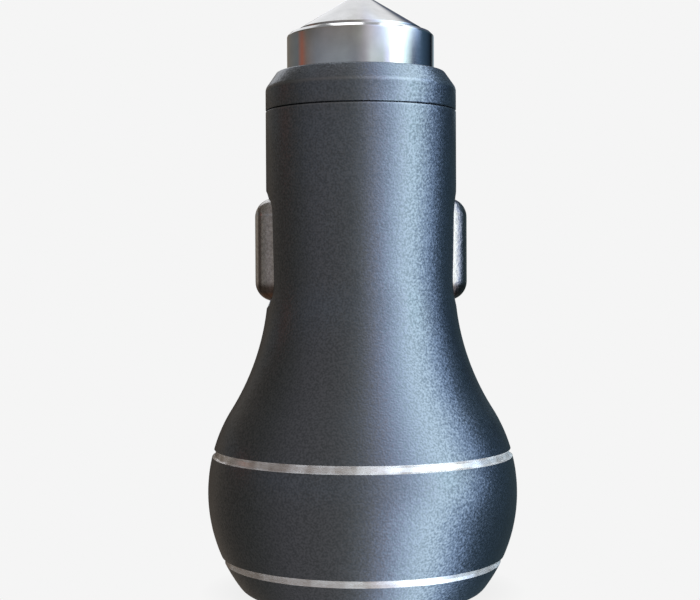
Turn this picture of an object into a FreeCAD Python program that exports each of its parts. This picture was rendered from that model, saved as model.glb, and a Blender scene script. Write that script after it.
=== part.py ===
import FreeCAD, Part
import os
import re
import Sketcher

# A metal car charger that stands on its USB end with its hammer tip up.
# Z runs up the charger's axis from the plane of the foot rim, X runs through the two side contacts,
# and -Y is the front. Every length is in millimetres.

SIZES = {
    # Barrel and neck of the outer shell
    "barrel_radius": 10.3,
    "barrel_wall": 1.4,
    "waist_step": 0.18,
    "seam_height": 51.96,
    "seam_bevel": 0.12,
    "straight_length": 8.25,
    "neck_round": 26.36,
    # Bulb and foot
    "bulb_middle": 10.83,
    "foot_round": 2.0,
    "rim_width": 1.02,
    "mouth_bevel": 0.35,
    "mouth_depth": 22.0,
    # Two bright rings, cut through the anodised skin
    "ring_width": 0.85,
    "ring_floor": 0.45,
    "ring_depth": 0.26,
    "upper_ring_height": 15.17,
    "lower_ring_height": 3.7,
    # Nose cap and its spigot
    "cap_length": 4.16,
    "cap_side": 2.4,
    "cap_wall": 0.65,
    "cap_face_width": 0.72,
    "cap_lower_round": 1.0,
    "cap_upper_round": 0.32,
    "cap_lip": 1.05,
    "cap_step": 0.35,
    "cap_step_depth": 2.05,
    "spigot_wall": 0.5,
    # Insulating bush
    "bush_skirt_wall": 0.45,
    "bush_neck_wall": 0.24,
    "bush_clearance": 0.11,
    # Hammer tip
    "collar_stand_out": 4.46,
    "collar_round": 0.8,
    "collar_step": 1.3,
    "land_length": 0.37,
    "cone_length": 3.95,
    "point_round": 0.3,
    "flange_step": 0.5,
    "flange_clearance": 0.15,
    "flange_length": 0.8,
    "flange_depth": 2.65,
    "tip_bevel": 0.2,
    "tip_travel": 3.0,
    "tip_spare": 2.12,
    # Tip spring and its brass seat
    "spring_radius": 3.4,
    "spring_wire": 0.6,
    "spring_turns": 5.0,
    "spring_clearance": 0.08,
    "spring_side_gap": 0.6,
    "spring_pocket_depth": 4.5,
    "seat_radius": 4.6,
    "seat_thickness": 0.8,
    "seat_boss_gap": 0.5,
    "seat_boss_length": 2.0,
    "seat_boss_bevel": 0.4,
    "seat_tab_width": 2.4,
    "seat_tab_thickness": 0.5,
    "seat_tab_lap": 2.8,
    # Inner frame, two equal moulded halves
    "frame_wall": 1.0,
    "frame_flange_length": 1.1,
    "frame_floor_thickness": 1.2,
    "frame_rim": 0.8,
    "frame_top_gap": 0.2,
    "frame_groove_wall": 0.45,
    "web_thickness": 0.8,
    "window_margin": 0.25,
    # Side contacts, drawn from sheet, and their slots
    "contact_height": 37.05,
    "contact_stand_out": 1.2,
    "contact_length": 11.1,
    "contact_width": 5.8,
    "contact_corner": 2.05,
    "contact_bow": 1.0,
    "contact_edge_round": 0.3,
    "contact_sheet": 0.8,
    "contact_flange_corner": 1.0,
    "contact_flange_thickness": 0.7,
    "contact_clearance": 0.15,
    "slot_side_gap": 0.3,
    "slot_end_gap": 0.65,
    "slot_corner": 2.6,
    "flange_side_lap": 0.6,
    "flange_end_lap": 0.7,
    # Leaf springs behind the side contacts
    "leaf_thickness": 0.25,
    "leaf_width": 5.2,
    "leaf_overhang": 0.2,
    "leaf_toe": 0.6,
    "leaf_tail": 2.9,
    "leaf_spare": 0.6,
    # Circuit board
    "board_thickness": 1.2,
    "board_bottom": 2.5,
    "board_side_gap": 0.35,
    "board_top_gap": 0.2,
    "board_corner": 0.5,
    # USB sockets
    "port_width": 13.1,
    "port_depth": 5.7,
    "port_length": 14.0,
    "port_sheet": 0.3,
    "port_corner": 0.7,
    "port_room": 0.66,
    "finger_across": 3.2,
    "finger_width": 2.2,
    "finger_length": 4.6,
    "finger_lip": 0.9,
    "finger_bow": 0.25,
    "finger_lip_rise": 0.15,
    "finger_gap": 0.3,
    "tongue_side_gap": 0.7,
    "tongue_thickness": 1.84,
    "tongue_back_gap": 0.65,
    "tongue_recess": 1.3,
    "tongue_block_length": 3.6,
    "lead_pitch": 2.5,
    "lead_middle_pitch": 2.0,
    "lead_width": 1.0,
    "lead_thickness": 0.2,
    "lead_bow": 0.3,
    "lead_bow_length": 5.4,
    # Face plate and its skirt
    "plate_recess": 0.6,
    "plate_thickness": 1.6,
    "plate_bevel": 0.3,
    "skirt_wall": 0.95,
    # Parts on the board: width across, length up the board, height off its face
    "part_gap": 1.0,
    "close_gap": 0.5,
    "inductor_side": 7.0,
    "inductor_height": 4.4,
    "inductor_corner": 1.2,
    "inductor_edge": 0.3,
    "can_radius": 3.15,
    "can_height": 5.8,
    "can_base_side": 6.6,
    "can_base_height": 0.9,
    "can_base_corner": 1.4,
    "can_crimp_height": 1.9,
    "can_crimp_width": 0.5,
    "can_crimp_depth": 0.25,
    "can_top_round": 0.3,
    "converter_width": 3.9,
    "converter_length": 4.9,
    "converter_height": 1.5,
    "converter_foot": 1.0,
    "converter_pitch": 1.27,
    "controller_width": 1.6,
    "controller_length": 2.9,
    "controller_height": 1.1,
    "controller_foot": 0.6,
    "controller_pitch": 0.95,
    "foot_width": 0.42,
    "foot_thickness": 0.2,
    "diode_width": 2.6,
    "diode_length": 4.3,
    "diode_height": 2.2,
    "fuse_width": 2.5,
    "fuse_length": 3.2,
    "fuse_height": 0.8,
    "resistor_width": 1.25,
    "resistor_length": 2.0,
    "resistor_height": 0.5,
    "capacitor_width": 1.25,
    "capacitor_length": 2.0,
    "capacitor_height": 1.0,
    "end_cap_length": 0.45,
    "end_cap_thickness": 0.05,
    # Clearances
    "press_clearance": 0.05,
    "slip_clearance": 0.1,
    "frame_clearance": 0.2,
}

# Places and sizes that follow from the ones above, each a formula
PLACES = {
    # The bulb is as large as the two sockets need
    "port_reach": "sqrt((port_width / 2)^2 + (board_face + port_depth)^2)",
    "skirt_bore": "port_reach + port_room",
    "plate_radius": "skirt_bore + skirt_wall",
    "mouth_bore": "plate_radius + slip_clearance",
    "foot_flat": "mouth_bore + rim_width",
    "bulb_round": "foot_round + sqrt(foot_flat^2 + (bulb_middle - foot_round)^2)",
    "foot_share": "bulb_round / (bulb_round - foot_round)",
    # The neck's arc touches the bulb and the waist
    "waist_radius": "barrel_radius - waist_step",
    "straight_start": "seam_height - straight_length",
    "neck_across": "waist_radius + neck_round",
    "neck_reach": "neck_round + bulb_round",
    "neck_rise": "sqrt(neck_reach^2 - neck_across^2)",
    "neck_middle": "bulb_middle + neck_rise",
    # From the barrel inwards: cap spigot, bush, tip flange, tip collar
    "cap_top": "seam_height + cap_length",
    "cap_bore": "barrel_radius - cap_wall",
    "spigot_radius": "cap_bore - press_clearance",
    "spigot_bore": "spigot_radius - spigot_wall",
    "bush_radius": "spigot_bore - press_clearance",
    "bush_skirt_bore": "bush_radius - bush_skirt_wall",
    "flange_radius": "bush_skirt_bore - flange_clearance",
    "collar_radius": "flange_radius - flange_step",
    "bush_bore": "collar_radius + bush_clearance",
    "bush_neck_radius": "bush_bore + bush_neck_wall",
    "cap_opening": "bush_neck_radius + press_clearance",
    "cap_face_radius": "cap_opening + cap_face_width",
    "cap_step_bore": "cap_opening + cap_step",
    "cap_step_floor": "cap_top - cap_step_depth",
    "bush_step_radius": "cap_step_bore - press_clearance",
    "collar_top": "cap_top + collar_stand_out",
    "land_radius": "collar_radius - collar_step",
    "land_top": "collar_top + land_length",
    "cone_slope": "sqrt(land_radius^2 + cone_length^2)",
    "point_radius": "point_round * cone_length / cone_slope",
    "point_start": "land_top + cone_length * (1 - point_radius / land_radius)",
    "point_top": "point_start + point_round * (1 - land_radius / cone_slope)",
    "flange_top": "cap_top - flange_depth",
    "bush_shoulder": "flange_top + slip_clearance",
    "tip_end": "flange_top - flange_length",
    "pocket_roof": "tip_end + spring_pocket_depth",
    "spring_pocket_radius": "spring_radius + spring_wire / 2 + spring_side_gap",
    "seat_boss_radius": "spring_radius - spring_wire / 2 - seat_boss_gap",
    # The pressed tip ends above the frame
    "cap_bore_floor": "tip_end - tip_travel - tip_spare",
    "spigot_end": "cap_bore_floor + press_clearance",
    "barrel_bore": "barrel_radius - barrel_wall",
    "frame_radius": "barrel_bore - frame_clearance",
    "frame_bore": "frame_radius - frame_wall",
    "frame_flange_radius": "mouth_bore - slip_clearance",
    "frame_bottom": "mouth_depth - frame_flange_length - slip_clearance",
    "frame_top": "spigot_end - frame_top_gap",
    "frame_floor_top": "frame_top - frame_rim",
    "frame_floor_bottom": "frame_floor_top - frame_floor_thickness",
    "seat_top": "frame_floor_top + seat_thickness",
    # Side contacts in their slots, with flanges that the shell's bore keeps in
    "contact_reach": "barrel_radius + contact_stand_out",
    "contact_bow_round": "((contact_width / 2)^2 + contact_bow^2) / (2 * contact_bow)",
    "contact_low": "contact_height - contact_length / 2",
    "contact_high": "contact_height + contact_length / 2",
    "slot_width": "contact_width + 2 * slot_side_gap",
    "slot_length": "contact_length + 2 * slot_end_gap",
    "contact_flange_width": "slot_width + 2 * flange_side_lap",
    "contact_flange_length": "slot_length + 2 * flange_end_lap",
    "contact_flange_reach": "sqrt(barrel_bore^2 - (contact_flange_width / 2)^2) - contact_clearance",
    "contact_inner": "contact_flange_reach - contact_flange_thickness",
    "window_half_width": "contact_flange_width / 2 + window_margin",
    "window_low": "contact_height - contact_flange_length / 2 - window_margin",
    "window_high": "contact_height + contact_flange_length / 2 + window_margin",
    # Leaf springs between the frame's webs and the contacts
    "web_outer": "contact_inner - contact_stand_out - leaf_spare",
    "web_inner": "web_outer - web_thickness",
    "leaf_crown": "contact_inner - press_clearance",
    "leaf_near": "web_outer + press_clearance",
    "leaf_foot": "leaf_near + leaf_thickness",
    "leaf_rise": "leaf_crown - leaf_foot",
    "leaf_half": "contact_length / 2 + leaf_overhang",
    "leaf_round": "(leaf_half^2 + leaf_rise^2) / (2 * leaf_rise)",
    "leaf_low": "contact_height - leaf_half",
    "leaf_high": "contact_height + leaf_half",
    # Circuit board
    "board_face": "board_thickness / 2",
    "board_top": "frame_floor_bottom - board_top_gap",
    "board_lower_half": "skirt_bore - board_side_gap",
    "board_middle_half": "frame_radius - frame_groove_wall - press_clearance",
    "board_upper_half": "web_inner - board_side_gap",
    "board_lower_top": "frame_bottom - press_clearance",
    "board_middle_top": "window_low - press_clearance",
    "groove_half": "board_face + press_clearance",
    # USB sockets on both faces of the board
    "port_middle": "board_face + port_depth / 2",
    "port_far": "board_face + port_depth - port_sheet",
    "port_end": "plate_recess + port_length",
    "tongue_far": "port_far - tongue_back_gap",
    "tongue_face": "tongue_far - tongue_thickness",
    "tongue_half": "port_width / 2 - port_sheet - tongue_side_gap",
    "tongue_tip": "plate_recess + tongue_recess",
    "block_start": "port_end - tongue_block_length",
    "block_half": "port_width / 2 - port_sheet - press_clearance",
    "block_near": "board_face + port_sheet + press_clearance",
    "plate_back": "plate_recess + plate_thickness",
    "finger_root": "plate_back + 2 * finger_gap",
    "finger_crown": "finger_root + finger_length",
    "finger_end": "finger_crown + finger_lip",
    "skirt_top": "frame_bottom - press_clearance",
    # Parts follow one another up each face of the board, and the last ones hang from its upper end
    "first_row": "port_end + lead_thickness + part_gap",
    "inductor_up": "first_row + inductor_side / 2",
    "output_can_up": "first_row + inductor_side + close_gap + can_base_side / 2",
    "fuse_up": "output_can_up + can_base_side / 2 + part_gap + fuse_length / 2",
    "fuse_across": "-board_upper_half / 2",
    "controller_up": "board_top - seat_tab_lap - part_gap - controller_length / 2",
    "controller_across": "board_upper_half / 2",
    "input_can_up": "first_row + can_base_side / 2",
    "converter_up": "first_row + can_base_side + part_gap + converter_length / 2",
    "diode_up": "converter_up + converter_length / 2 + part_gap + diode_length / 2",
    "resistor_up": "board_top - part_gap - resistor_length / 2",
    "resistor_across": "resistor_width + part_gap",
    "resistor_step": "resistor_length + close_gap",
    "capacitor_across": "inductor_side / 2 + part_gap + capacitor_width / 2",
    "capacitor_up": "first_row + capacitor_length / 2",
    "capacitor_step": "capacitor_length + close_gap",
}

WORD = re.compile(r"[a-z][a-z_]*")
SMALL = 0.02
# The spring's wire is drawn with flats instead of one round side, which keeps its mesh light
WIRE_FLATS = 8

doc = FreeCAD.newDocument("car_usb_charger_plug")
sheet = doc.addObject("Spreadsheet::Sheet", "Sizes")
for row, (alias, number) in enumerate(SIZES.items(), start=1):
    sheet.set(f"A{row}", alias)
    sheet.set(f"B{row}", str(number))
    sheet.setAlias(f"B{row}", alias)
doc.recompute()


def tied(formula):
    """The formula with each size tied to its cell and each place written out."""
    def swap(found):
        name = found.group()
        if name in PLACES:
            return "(" + tied(PLACES[name]) + ")"
        if name in SIZES:
            return "Sizes." + name
        return name
    return WORD.sub(swap, formula)


def value(formula):
    """The number that a formula gives now."""
    return float(sheet.evalExpression(tied(formula)))


def new_body(label):
    """An empty body whose label names the piece."""
    body = doc.addObject("PartDesign::Body", label)
    body.Label = label
    return body


def new_sketch(body, role, name, lift="0"):
    """A sketch on one of the body's own planes, lifted along the plane's normal."""
    sketch = body.newObject("Sketcher::SketchObject", name)
    plane = next(feature for feature in body.Origin.OriginFeatures if feature.Role == role)
    sketch.AttachmentSupport = [(plane, "")]
    sketch.MapMode = "FlatFace"
    sketch.setExpression("AttachmentOffset.Base.z", tied(lift))
    return sketch


def hold(sketch, kind, *places_and_formula):
    """A dimension in a sketch, tied to its formula."""
    *places, formula = places_and_formula
    index = sketch.addConstraint(Sketcher.Constraint(kind, *places, value(formula)))
    sketch.setExpression(f"Constraints[{index}]", tied(formula))


def bend(start, end, radius, turn):
    """An arc from start to end: turn is 1 where it bends left on the way, and -1 where it bends right."""
    chord = end - start
    sag = radius - (radius ** 2 - (chord.Length / 2) ** 2) ** 0.5
    outward = FreeCAD.Vector(chord.y, -chord.x, 0).normalize() * turn
    return Part.Arc(start, (start + end) / 2 + outward * sag, end)


def outline(sketch, corners, closed=True):
    """An outline: each corner is (across, up), with (radius, turn) added where an arc leaves it."""
    points = [FreeCAD.Vector(value(corner[0]), value(corner[1]), 0) for corner in corners]
    first = sketch.GeometryCount
    steps = len(corners) if closed else len(corners) - 1
    ends = []
    for number, corner in enumerate(corners[:steps]):
        start = points[number]
        end = points[(number + 1) % len(points)]
        if len(corner) == 2:
            index = sketch.addGeometry(Part.LineSegment(start, end))
            ends.append((1, 2))
        else:
            index = sketch.addGeometry(bend(start, end, value(corner[2]), corner[3]))
            hold(sketch, "Radius", index, corner[2])
            ends.append((1, 2) if corner[3] > 0 else (2, 1))
    places = [(first + number, ends[number][0]) for number in range(steps)]
    if not closed:
        places.append((first + steps - 1, ends[-1][1]))
    for number in range(steps):
        after = (number + 1) % len(corners)
        if after < steps:
            sketch.addConstraint(Sketcher.Constraint("Coincident", first + number, ends[number][1], *places[after]))
    for corner, place in zip(corners, places):
        hold(sketch, "DistanceX", -1, 1, *place, corner[0])
        hold(sketch, "DistanceY", -1, 1, *place, corner[1])


def rectangle(sketch, left, bottom, right, top):
    """A rectangle between two corners."""
    outline(sketch, [(left, bottom), (right, bottom), (right, top), (left, top)])


def rounded_rectangle(sketch, middle, width, height, corner):
    """A rectangle about a middle, with quarter rounds at its corners."""
    across, up = middle
    left = f"{across} - ({width}) / 2"
    right = f"{across} + ({width}) / 2"
    bottom = f"{up} - ({height}) / 2"
    top = f"{up} + ({height}) / 2"
    outline(sketch, [
        (f"{left} + ({corner})", bottom),
        (f"{right} - ({corner})", bottom, corner, 1),
        (right, f"{bottom} + ({corner})"),
        (right, f"{top} - ({corner})", corner, 1),
        (f"{right} - ({corner})", top),
        (f"{left} + ({corner})", top, corner, 1),
        (left, f"{top} - ({corner})"),
        (left, f"{bottom} + ({corner})", corner, 1),
    ])


def circle(sketch, across, up, radius):
    """A circle about a middle."""
    middle = FreeCAD.Vector(value(across), value(up), 0)
    index = sketch.addGeometry(Part.Circle(middle, FreeCAD.Vector(0, 0, 1), value(radius)))
    hold(sketch, "Radius", index, radius)
    hold(sketch, "DistanceX", -1, 1, index, 3, across)
    hold(sketch, "DistanceY", -1, 1, index, 3, up)


def feature(body, kind, name, sketch):
    """A feature of the body made from a sketch."""
    made = body.newObject(kind, name)
    made.Profile = sketch
    sketch.Visibility = False
    return made


def pad(body, name, sketch, length, both_ways=False, back=False):
    """A pad off the sketch: along its normal, against it, or half of it each way."""
    made = feature(body, "PartDesign::Pad", name, sketch)
    made.setExpression("Length", tied(length))
    made.SideType = "Symmetric" if both_ways else "One side"
    made.Reversed = back
    doc.recompute()
    return made


def removed(body, made, before):
    """Stop if a cut took nothing away."""
    doc.recompute()
    if not made.Shape.Volume < before - SMALL ** 3:
        raise ValueError(f"{body.Label}: {made.Name} cuts nothing")
    return made


def pocket(body, name, sketch, length, both_ways=False, back=False):
    """A pocket from the sketch: against its normal, along it, or half of it each way."""
    before = body.Shape.Volume
    made = feature(body, "PartDesign::Pocket", name, sketch)
    made.setExpression("Length", tied(length))
    made.SideType = "Symmetric" if both_ways else "One side"
    made.Reversed = back
    return removed(body, made, before)


def turn(body, name, sketch, angle=360):
    """A solid turned about the sketch's upright axis."""
    made = feature(body, "PartDesign::Revolution", name, sketch)
    made.ReferenceAxis = (sketch, ["V_Axis"])
    made.Angle = angle
    doc.recompute()
    return made


def turned_cut(body, name, sketch):
    """A groove turned about the sketch's upright axis."""
    before = body.Shape.Volume
    made = feature(body, "PartDesign::Groove", name, sketch)
    made.ReferenceAxis = (sketch, ["V_Axis"])
    made.Angle = 360
    return removed(body, made, before)


def swept_cut(body, name, sketch, path):
    """A cut with the sketch's outline carried along a path."""
    before = body.Shape.Volume
    made = feature(body, "PartDesign::SubtractivePipe", name, sketch)
    made.Spine = (path, [f"Edge{number}" for number in range(1, path.GeometryCount + 1)])
    path.Visibility = False
    return removed(body, made, before)


def dress(body, kind, name, base, size, wanted):
    """A fillet or chamfer on each edge of the base feature that passes the test."""
    edges = [f"Edge{number}" for number, edge in enumerate(base.Shape.Edges, start=1) if wanted(edge)]
    if not edges:
        raise ValueError(f"{body.Label}: {name} finds no edge")
    made = body.newObject(f"PartDesign::{kind}", name)
    made.Base = (base, edges)
    made.setExpression("Radius" if kind == "Fillet" else "Size", tied(size))
    doc.recompute()
    return made


def ring_at(radius, height):
    """A test for circular edges about Z at a radius and a height."""
    across = value(radius)
    up = value(height)

    def wanted(edge):
        box = edge.BoundBox
        level = box.ZLength < SMALL and abs(box.ZMin - up) < SMALL
        return level and abs(box.XMax - across) < SMALL
    return wanted


def half_turn(piece):
    """Turn a piece by half a turn about Z, to the other side of the charger."""
    piece.Placement = FreeCAD.Placement(FreeCAD.Vector(), FreeCAD.Rotation(FreeCAD.Vector(0, 0, 1), 180))


# Outer shell

def ring_corner(height, along, out):
    """A point beside a ring: along the ball's outline from the ring's middle, and out from the ball."""
    rise = f"(({height} - bulb_middle) / bulb_round)"
    run = f"sqrt(1 - {rise}^2)"
    across = f"(bulb_round + {out}) * {run} - ({along}) * {rise}"
    up = f"bulb_middle + (bulb_round + {out}) * {rise} + ({along}) * {run}"
    return across, up


def make_shell():
    """Barrel, neck and bulb with their bores, the ring grooves and the contact slots."""
    body = new_body("shell")
    section = new_sketch(body, "XZ_Plane", "shell_section")
    outline(section, [
        ("mouth_bore + mouth_bevel", "0"),
        ("foot_flat", "0", "foot_round", 1),
        ("foot_flat * foot_share", "bulb_middle - (bulb_middle - foot_round) * foot_share", "bulb_round", 1),
        (
            "bulb_round * neck_across / neck_reach",
            "bulb_middle + bulb_round * neck_rise / neck_reach",
            "neck_round",
            -1,
        ),
        ("waist_radius", "neck_middle"),
        ("barrel_radius", "straight_start"),
        ("barrel_radius", "seam_height - seam_bevel"),
        ("barrel_radius - seam_bevel", "seam_height"),
        ("cap_bore", "seam_height"),
        ("cap_bore", "cap_bore_floor"),
        ("barrel_bore", "cap_bore_floor"),
        ("barrel_bore", "mouth_depth"),
        ("mouth_bore", "mouth_depth"),
        ("mouth_bore", "mouth_bevel"),
    ])
    turn(body, "shell_turning", section)
    for name, height in (("upper_ring", "upper_ring_height"), ("lower_ring", "lower_ring_height")):
        cut = new_sketch(body, "XZ_Plane", f"{name}_section")
        outline(cut, [
            ring_corner(height, "-ring_floor / 2", "(-ring_depth)"),
            ring_corner(height, "ring_floor / 2 - ring_width", "ring_depth"),
            ring_corner(height, "ring_width - ring_floor / 2", "ring_depth"),
            ring_corner(height, "ring_floor / 2", "(-ring_depth)"),
        ])
        turned_cut(body, f"{name}_groove", cut)
    slots = new_sketch(body, "YZ_Plane", "slot_outline")
    rounded_rectangle(slots, ("0", "contact_height"), "slot_width", "slot_length", "slot_corner")
    pocket(body, "slots", slots, "2 * bulb_round", both_ways=True)
    return body


# Nose cap, bush and hammer tip

def make_nose_cap():
    """The bevelled ring above the seam, with the spigot that goes down into the shell."""
    body = new_body("nose_cap")
    section = new_sketch(body, "XZ_Plane", "cap_section")
    outline(section, [
        ("spigot_bore", "spigot_end"),
        ("spigot_radius", "spigot_end"),
        ("spigot_radius", "seam_height"),
        ("barrel_radius - seam_bevel", "seam_height"),
        ("barrel_radius", "seam_height + seam_bevel"),
        ("barrel_radius", "seam_height + cap_side"),
        ("cap_face_radius", "cap_top"),
        ("cap_opening", "cap_top"),
        ("cap_opening", "cap_top - cap_lip"),
        ("cap_step_bore", "cap_top - cap_lip"),
        ("cap_step_bore", "cap_step_floor"),
        ("spigot_bore", "cap_step_floor"),
    ])
    turned = turn(body, "cap_turning", section)
    lower = dress(body, "Fillet", "cap_shoulder_round", turned, "cap_lower_round",
                  ring_at("barrel_radius", "seam_height + cap_side"))
    dress(body, "Fillet", "cap_face_round", lower, "cap_upper_round", ring_at("cap_face_radius", "cap_top"))
    return body


def make_tip_insulator():
    """A stepped plastic bush that lines the cap and guides the live tip."""
    body = new_body("tip_insulator")
    section = new_sketch(body, "XZ_Plane", "bush_section")
    outline(section, [
        ("bush_skirt_bore", "spigot_end"),
        ("bush_radius", "spigot_end"),
        ("bush_radius", "cap_step_floor - press_clearance"),
        ("bush_step_radius", "cap_step_floor - press_clearance"),
        ("bush_step_radius", "cap_top - cap_lip - press_clearance"),
        ("bush_neck_radius", "cap_top - cap_lip - press_clearance"),
        ("bush_neck_radius", "cap_top"),
        ("bush_bore", "cap_top"),
        ("bush_bore", "bush_shoulder"),
        ("bush_skirt_bore", "bush_shoulder"),
    ])
    turn(body, "bush_turning", section)
    return body


def make_hammer_tip():
    """The steel collar and blunt cone, with a flange that keeps it in and a pocket for its spring."""
    body = new_body("hammer_tip")
    section = new_sketch(body, "XZ_Plane", "tip_section")
    outline(section, [
        ("0", "pocket_roof"),
        ("spring_pocket_radius", "pocket_roof"),
        ("spring_pocket_radius", "tip_end"),
        ("flange_radius - tip_bevel", "tip_end"),
        ("flange_radius", "tip_end + tip_bevel"),
        ("flange_radius", "flange_top"),
        ("collar_radius", "flange_top"),
        ("collar_radius", "collar_top - collar_round", "collar_round", 1),
        ("collar_radius - collar_round", "collar_top"),
        ("land_radius", "collar_top"),
        ("land_radius", "land_top"),
        ("point_radius", "point_start", "point_round", 1),
        ("0", "point_top"),
    ])
    turn(body, "tip_turning", section)
    return body


def make_tip_spring():
    """A compression spring between the brass seat and the roof of the tip's pocket."""
    body = new_body("tip_spring")
    wire = new_sketch(body, "XZ_Plane", "wire_section")
    foot = "seat_top + spring_clearance + spring_wire / 2"
    head = "pocket_roof - spring_clearance - spring_wire / 2"
    corner = f"spring_wire / 2 / cos({180 / WIRE_FLATS} deg)"
    outline(wire, [
        (f"spring_radius + {corner} * cos({angle} deg)", f"{foot} + {corner} * sin({angle} deg)")
        for angle in (360 * (number + 0.5) / WIRE_FLATS for number in range(WIRE_FLATS))
    ])
    coil = feature(body, "PartDesign::AdditiveHelix", "coil", wire)
    coil.ReferenceAxis = (wire, ["V_Axis"])
    coil.Mode = "height-turns-angle"
    coil.setExpression("Height", tied(f"{head} - ({foot})"))
    coil.setExpression("Turns", tied("spring_turns"))
    doc.recompute()
    return body


def make_positive_terminal():
    """A brass spring seat with a centring boss and a tab that is soldered to the board."""
    body = new_body("positive_terminal")
    section = new_sketch(body, "XZ_Plane", "seat_section")
    outline(section, [
        ("0", "frame_floor_top"),
        ("seat_radius", "frame_floor_top"),
        ("seat_radius", "seat_top"),
        ("seat_boss_radius", "seat_top"),
        ("seat_boss_radius", "seat_top + seat_boss_length - seat_boss_bevel"),
        ("seat_boss_radius - seat_boss_bevel", "seat_top + seat_boss_length"),
        ("0", "seat_top + seat_boss_length"),
    ])
    turn(body, "seat_turning", section)
    tab = new_sketch(body, "XY_Plane", "tab_section", "frame_floor_top")
    rectangle(tab, "-seat_tab_width / 2", "board_face", "seat_tab_width / 2", "board_face + seat_tab_thickness")
    pad(body, "tab", tab, "frame_floor_top - board_top + seat_tab_lap", back=True)
    return body


# Inner frame

def make_frame_half(label):
    """Half a tube with a flange, a floor for the brass seat, two webs and room for the contacts."""
    body = new_body(label)
    section = new_sketch(body, "XZ_Plane", "frame_section")
    outline(section, [
        ("frame_bore", "frame_bottom"),
        ("frame_flange_radius", "frame_bottom"),
        ("frame_flange_radius", "frame_bottom + frame_flange_length"),
        ("frame_radius", "frame_bottom + frame_flange_length"),
        ("frame_radius", "frame_top"),
        ("frame_bore", "frame_top"),
        ("frame_bore", "frame_floor_top"),
        ("0", "frame_floor_top"),
        ("0", "frame_floor_bottom"),
        ("frame_bore", "frame_floor_bottom"),
    ])
    turn(body, "frame_turning", section, angle=180)
    webs = new_sketch(body, "XY_Plane", "web_outline", "window_low")
    web_reach = "sqrt(frame_bore^2 - web_outer^2) + frame_wall / 2"
    rectangle(webs, "web_inner", "0", "web_outer", web_reach)
    rectangle(webs, "-web_outer", "0", "-web_inner", web_reach)
    pad(body, "webs", webs, "window_high - window_low")
    windows = new_sketch(body, "XZ_Plane", "window_outline")
    rectangle(windows, "web_outer", "window_low", "barrel_radius", "window_high")
    rectangle(windows, "-barrel_radius", "window_low", "-web_outer", "window_high")
    pocket(body, "windows", windows, "window_half_width")
    groove = new_sketch(body, "XZ_Plane", "groove_outline")
    groove_reach = "(board_middle_half + press_clearance)"
    rectangle(groove, f"-{groove_reach}", "frame_bottom", groove_reach, "window_low")
    pocket(body, "board_groove", groove, "groove_half")
    tab_slot = new_sketch(body, "XZ_Plane", "tab_slot_outline")
    tab_half = "seat_tab_width / 2 + slip_clearance"
    rectangle(tab_slot, f"-({tab_half})", "frame_floor_bottom", tab_half, "frame_floor_top")
    pocket(body, "tab_slot", tab_slot, "board_face + seat_tab_thickness + slip_clearance")
    return body


# Side contacts and their springs

def contact_profile(sketch, foot, inset, closed=True):
    """The contact seen from the front: a long pad with two rounded outer corners, inset by a wall."""
    corner = f"contact_corner - ({inset})"
    reach = f"contact_reach - ({inset})"
    low = f"contact_low + {inset}"
    high = f"contact_high - ({inset})"
    outline(sketch, [
        (foot, low),
        (f"{reach} - ({corner})", low, corner, 1),
        (reach, f"{low} + ({corner})"),
        (reach, f"{high} - ({corner})", corner, 1),
        (f"{reach} - ({corner})", high),
        (foot, high),
    ], closed)


def make_ground_contact(label):
    """A drawn sheet shoe: a hollow pad, domed across its face and ends, on a flange that stays inside the shell."""
    body = new_body(label)
    side = new_sketch(body, "XZ_Plane", "pad_profile")
    contact_profile(side, "contact_inner", "0")
    pad(body, "pad_body", side, "contact_width", both_ways=True)
    path = new_sketch(body, "XZ_Plane", "dome_path")
    contact_profile(path, "contact_inner", "0", closed=False)
    dome = new_sketch(body, "YZ_Plane", "dome_section", "contact_inner")
    outline(dome, [
        ("-contact_width / 2", "contact_low + contact_bow", "contact_bow_round", 1),
        ("contact_width / 2", "contact_low + contact_bow"),
        ("contact_width", "contact_low + contact_bow"),
        ("contact_width", "contact_low - contact_bow"),
        ("-contact_width", "contact_low - contact_bow"),
        ("-contact_width", "contact_low + contact_bow"),
    ])
    domed = swept_cut(body, "dome", dome, path)
    half_width = value("contact_width / 2")
    inner = value("contact_inner")

    def long_edge(edge):
        box = edge.BoundBox
        flat = box.YLength < SMALL and abs(abs(box.YMin) - half_width) < SMALL
        return flat and box.XMax > inner + SMALL

    dress(body, "Fillet", "pad_rounds", domed, "contact_edge_round", long_edge)
    rim = new_sketch(body, "YZ_Plane", "flange_outline", "contact_inner")
    rounded_rectangle(rim, ("0", "contact_height"), "contact_flange_width", "contact_flange_length",
                      "contact_flange_corner")
    pad(body, "flange", rim, "contact_flange_thickness")
    hollow = new_sketch(body, "XZ_Plane", "hollow_profile")
    contact_profile(hollow, "contact_inner", "contact_sheet + contact_bow / 2")
    pocket(body, "hollow", hollow, "contact_width - 2 * contact_sheet", both_ways=True)
    return body


def make_contact_spring(label):
    """A bowed leaf with a forked tail that straddles the board's edge."""
    body = new_body(label)
    side = new_sketch(body, "XZ_Plane", "leaf_profile")
    outline(side, [
        ("leaf_near", "leaf_low - leaf_tail"),
        ("leaf_foot", "leaf_low - leaf_tail"),
        ("leaf_foot", "leaf_low", "leaf_round", 1),
        ("leaf_foot", "leaf_high"),
        ("leaf_foot", "leaf_high + leaf_toe"),
        ("leaf_near", "leaf_high + leaf_toe"),
        ("leaf_near", "leaf_high", "leaf_round", -1),
        ("leaf_near", "leaf_low"),
    ])
    pad(body, "leaf", side, "leaf_width", both_ways=True)
    fork = new_sketch(body, "YZ_Plane", "fork_outline", "leaf_foot")
    rectangle(fork, "-groove_half", "leaf_low - leaf_tail", "groove_half", "window_low + press_clearance")
    pocket(body, "fork", fork, "leaf_thickness")
    return body


# Circuit board

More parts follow.
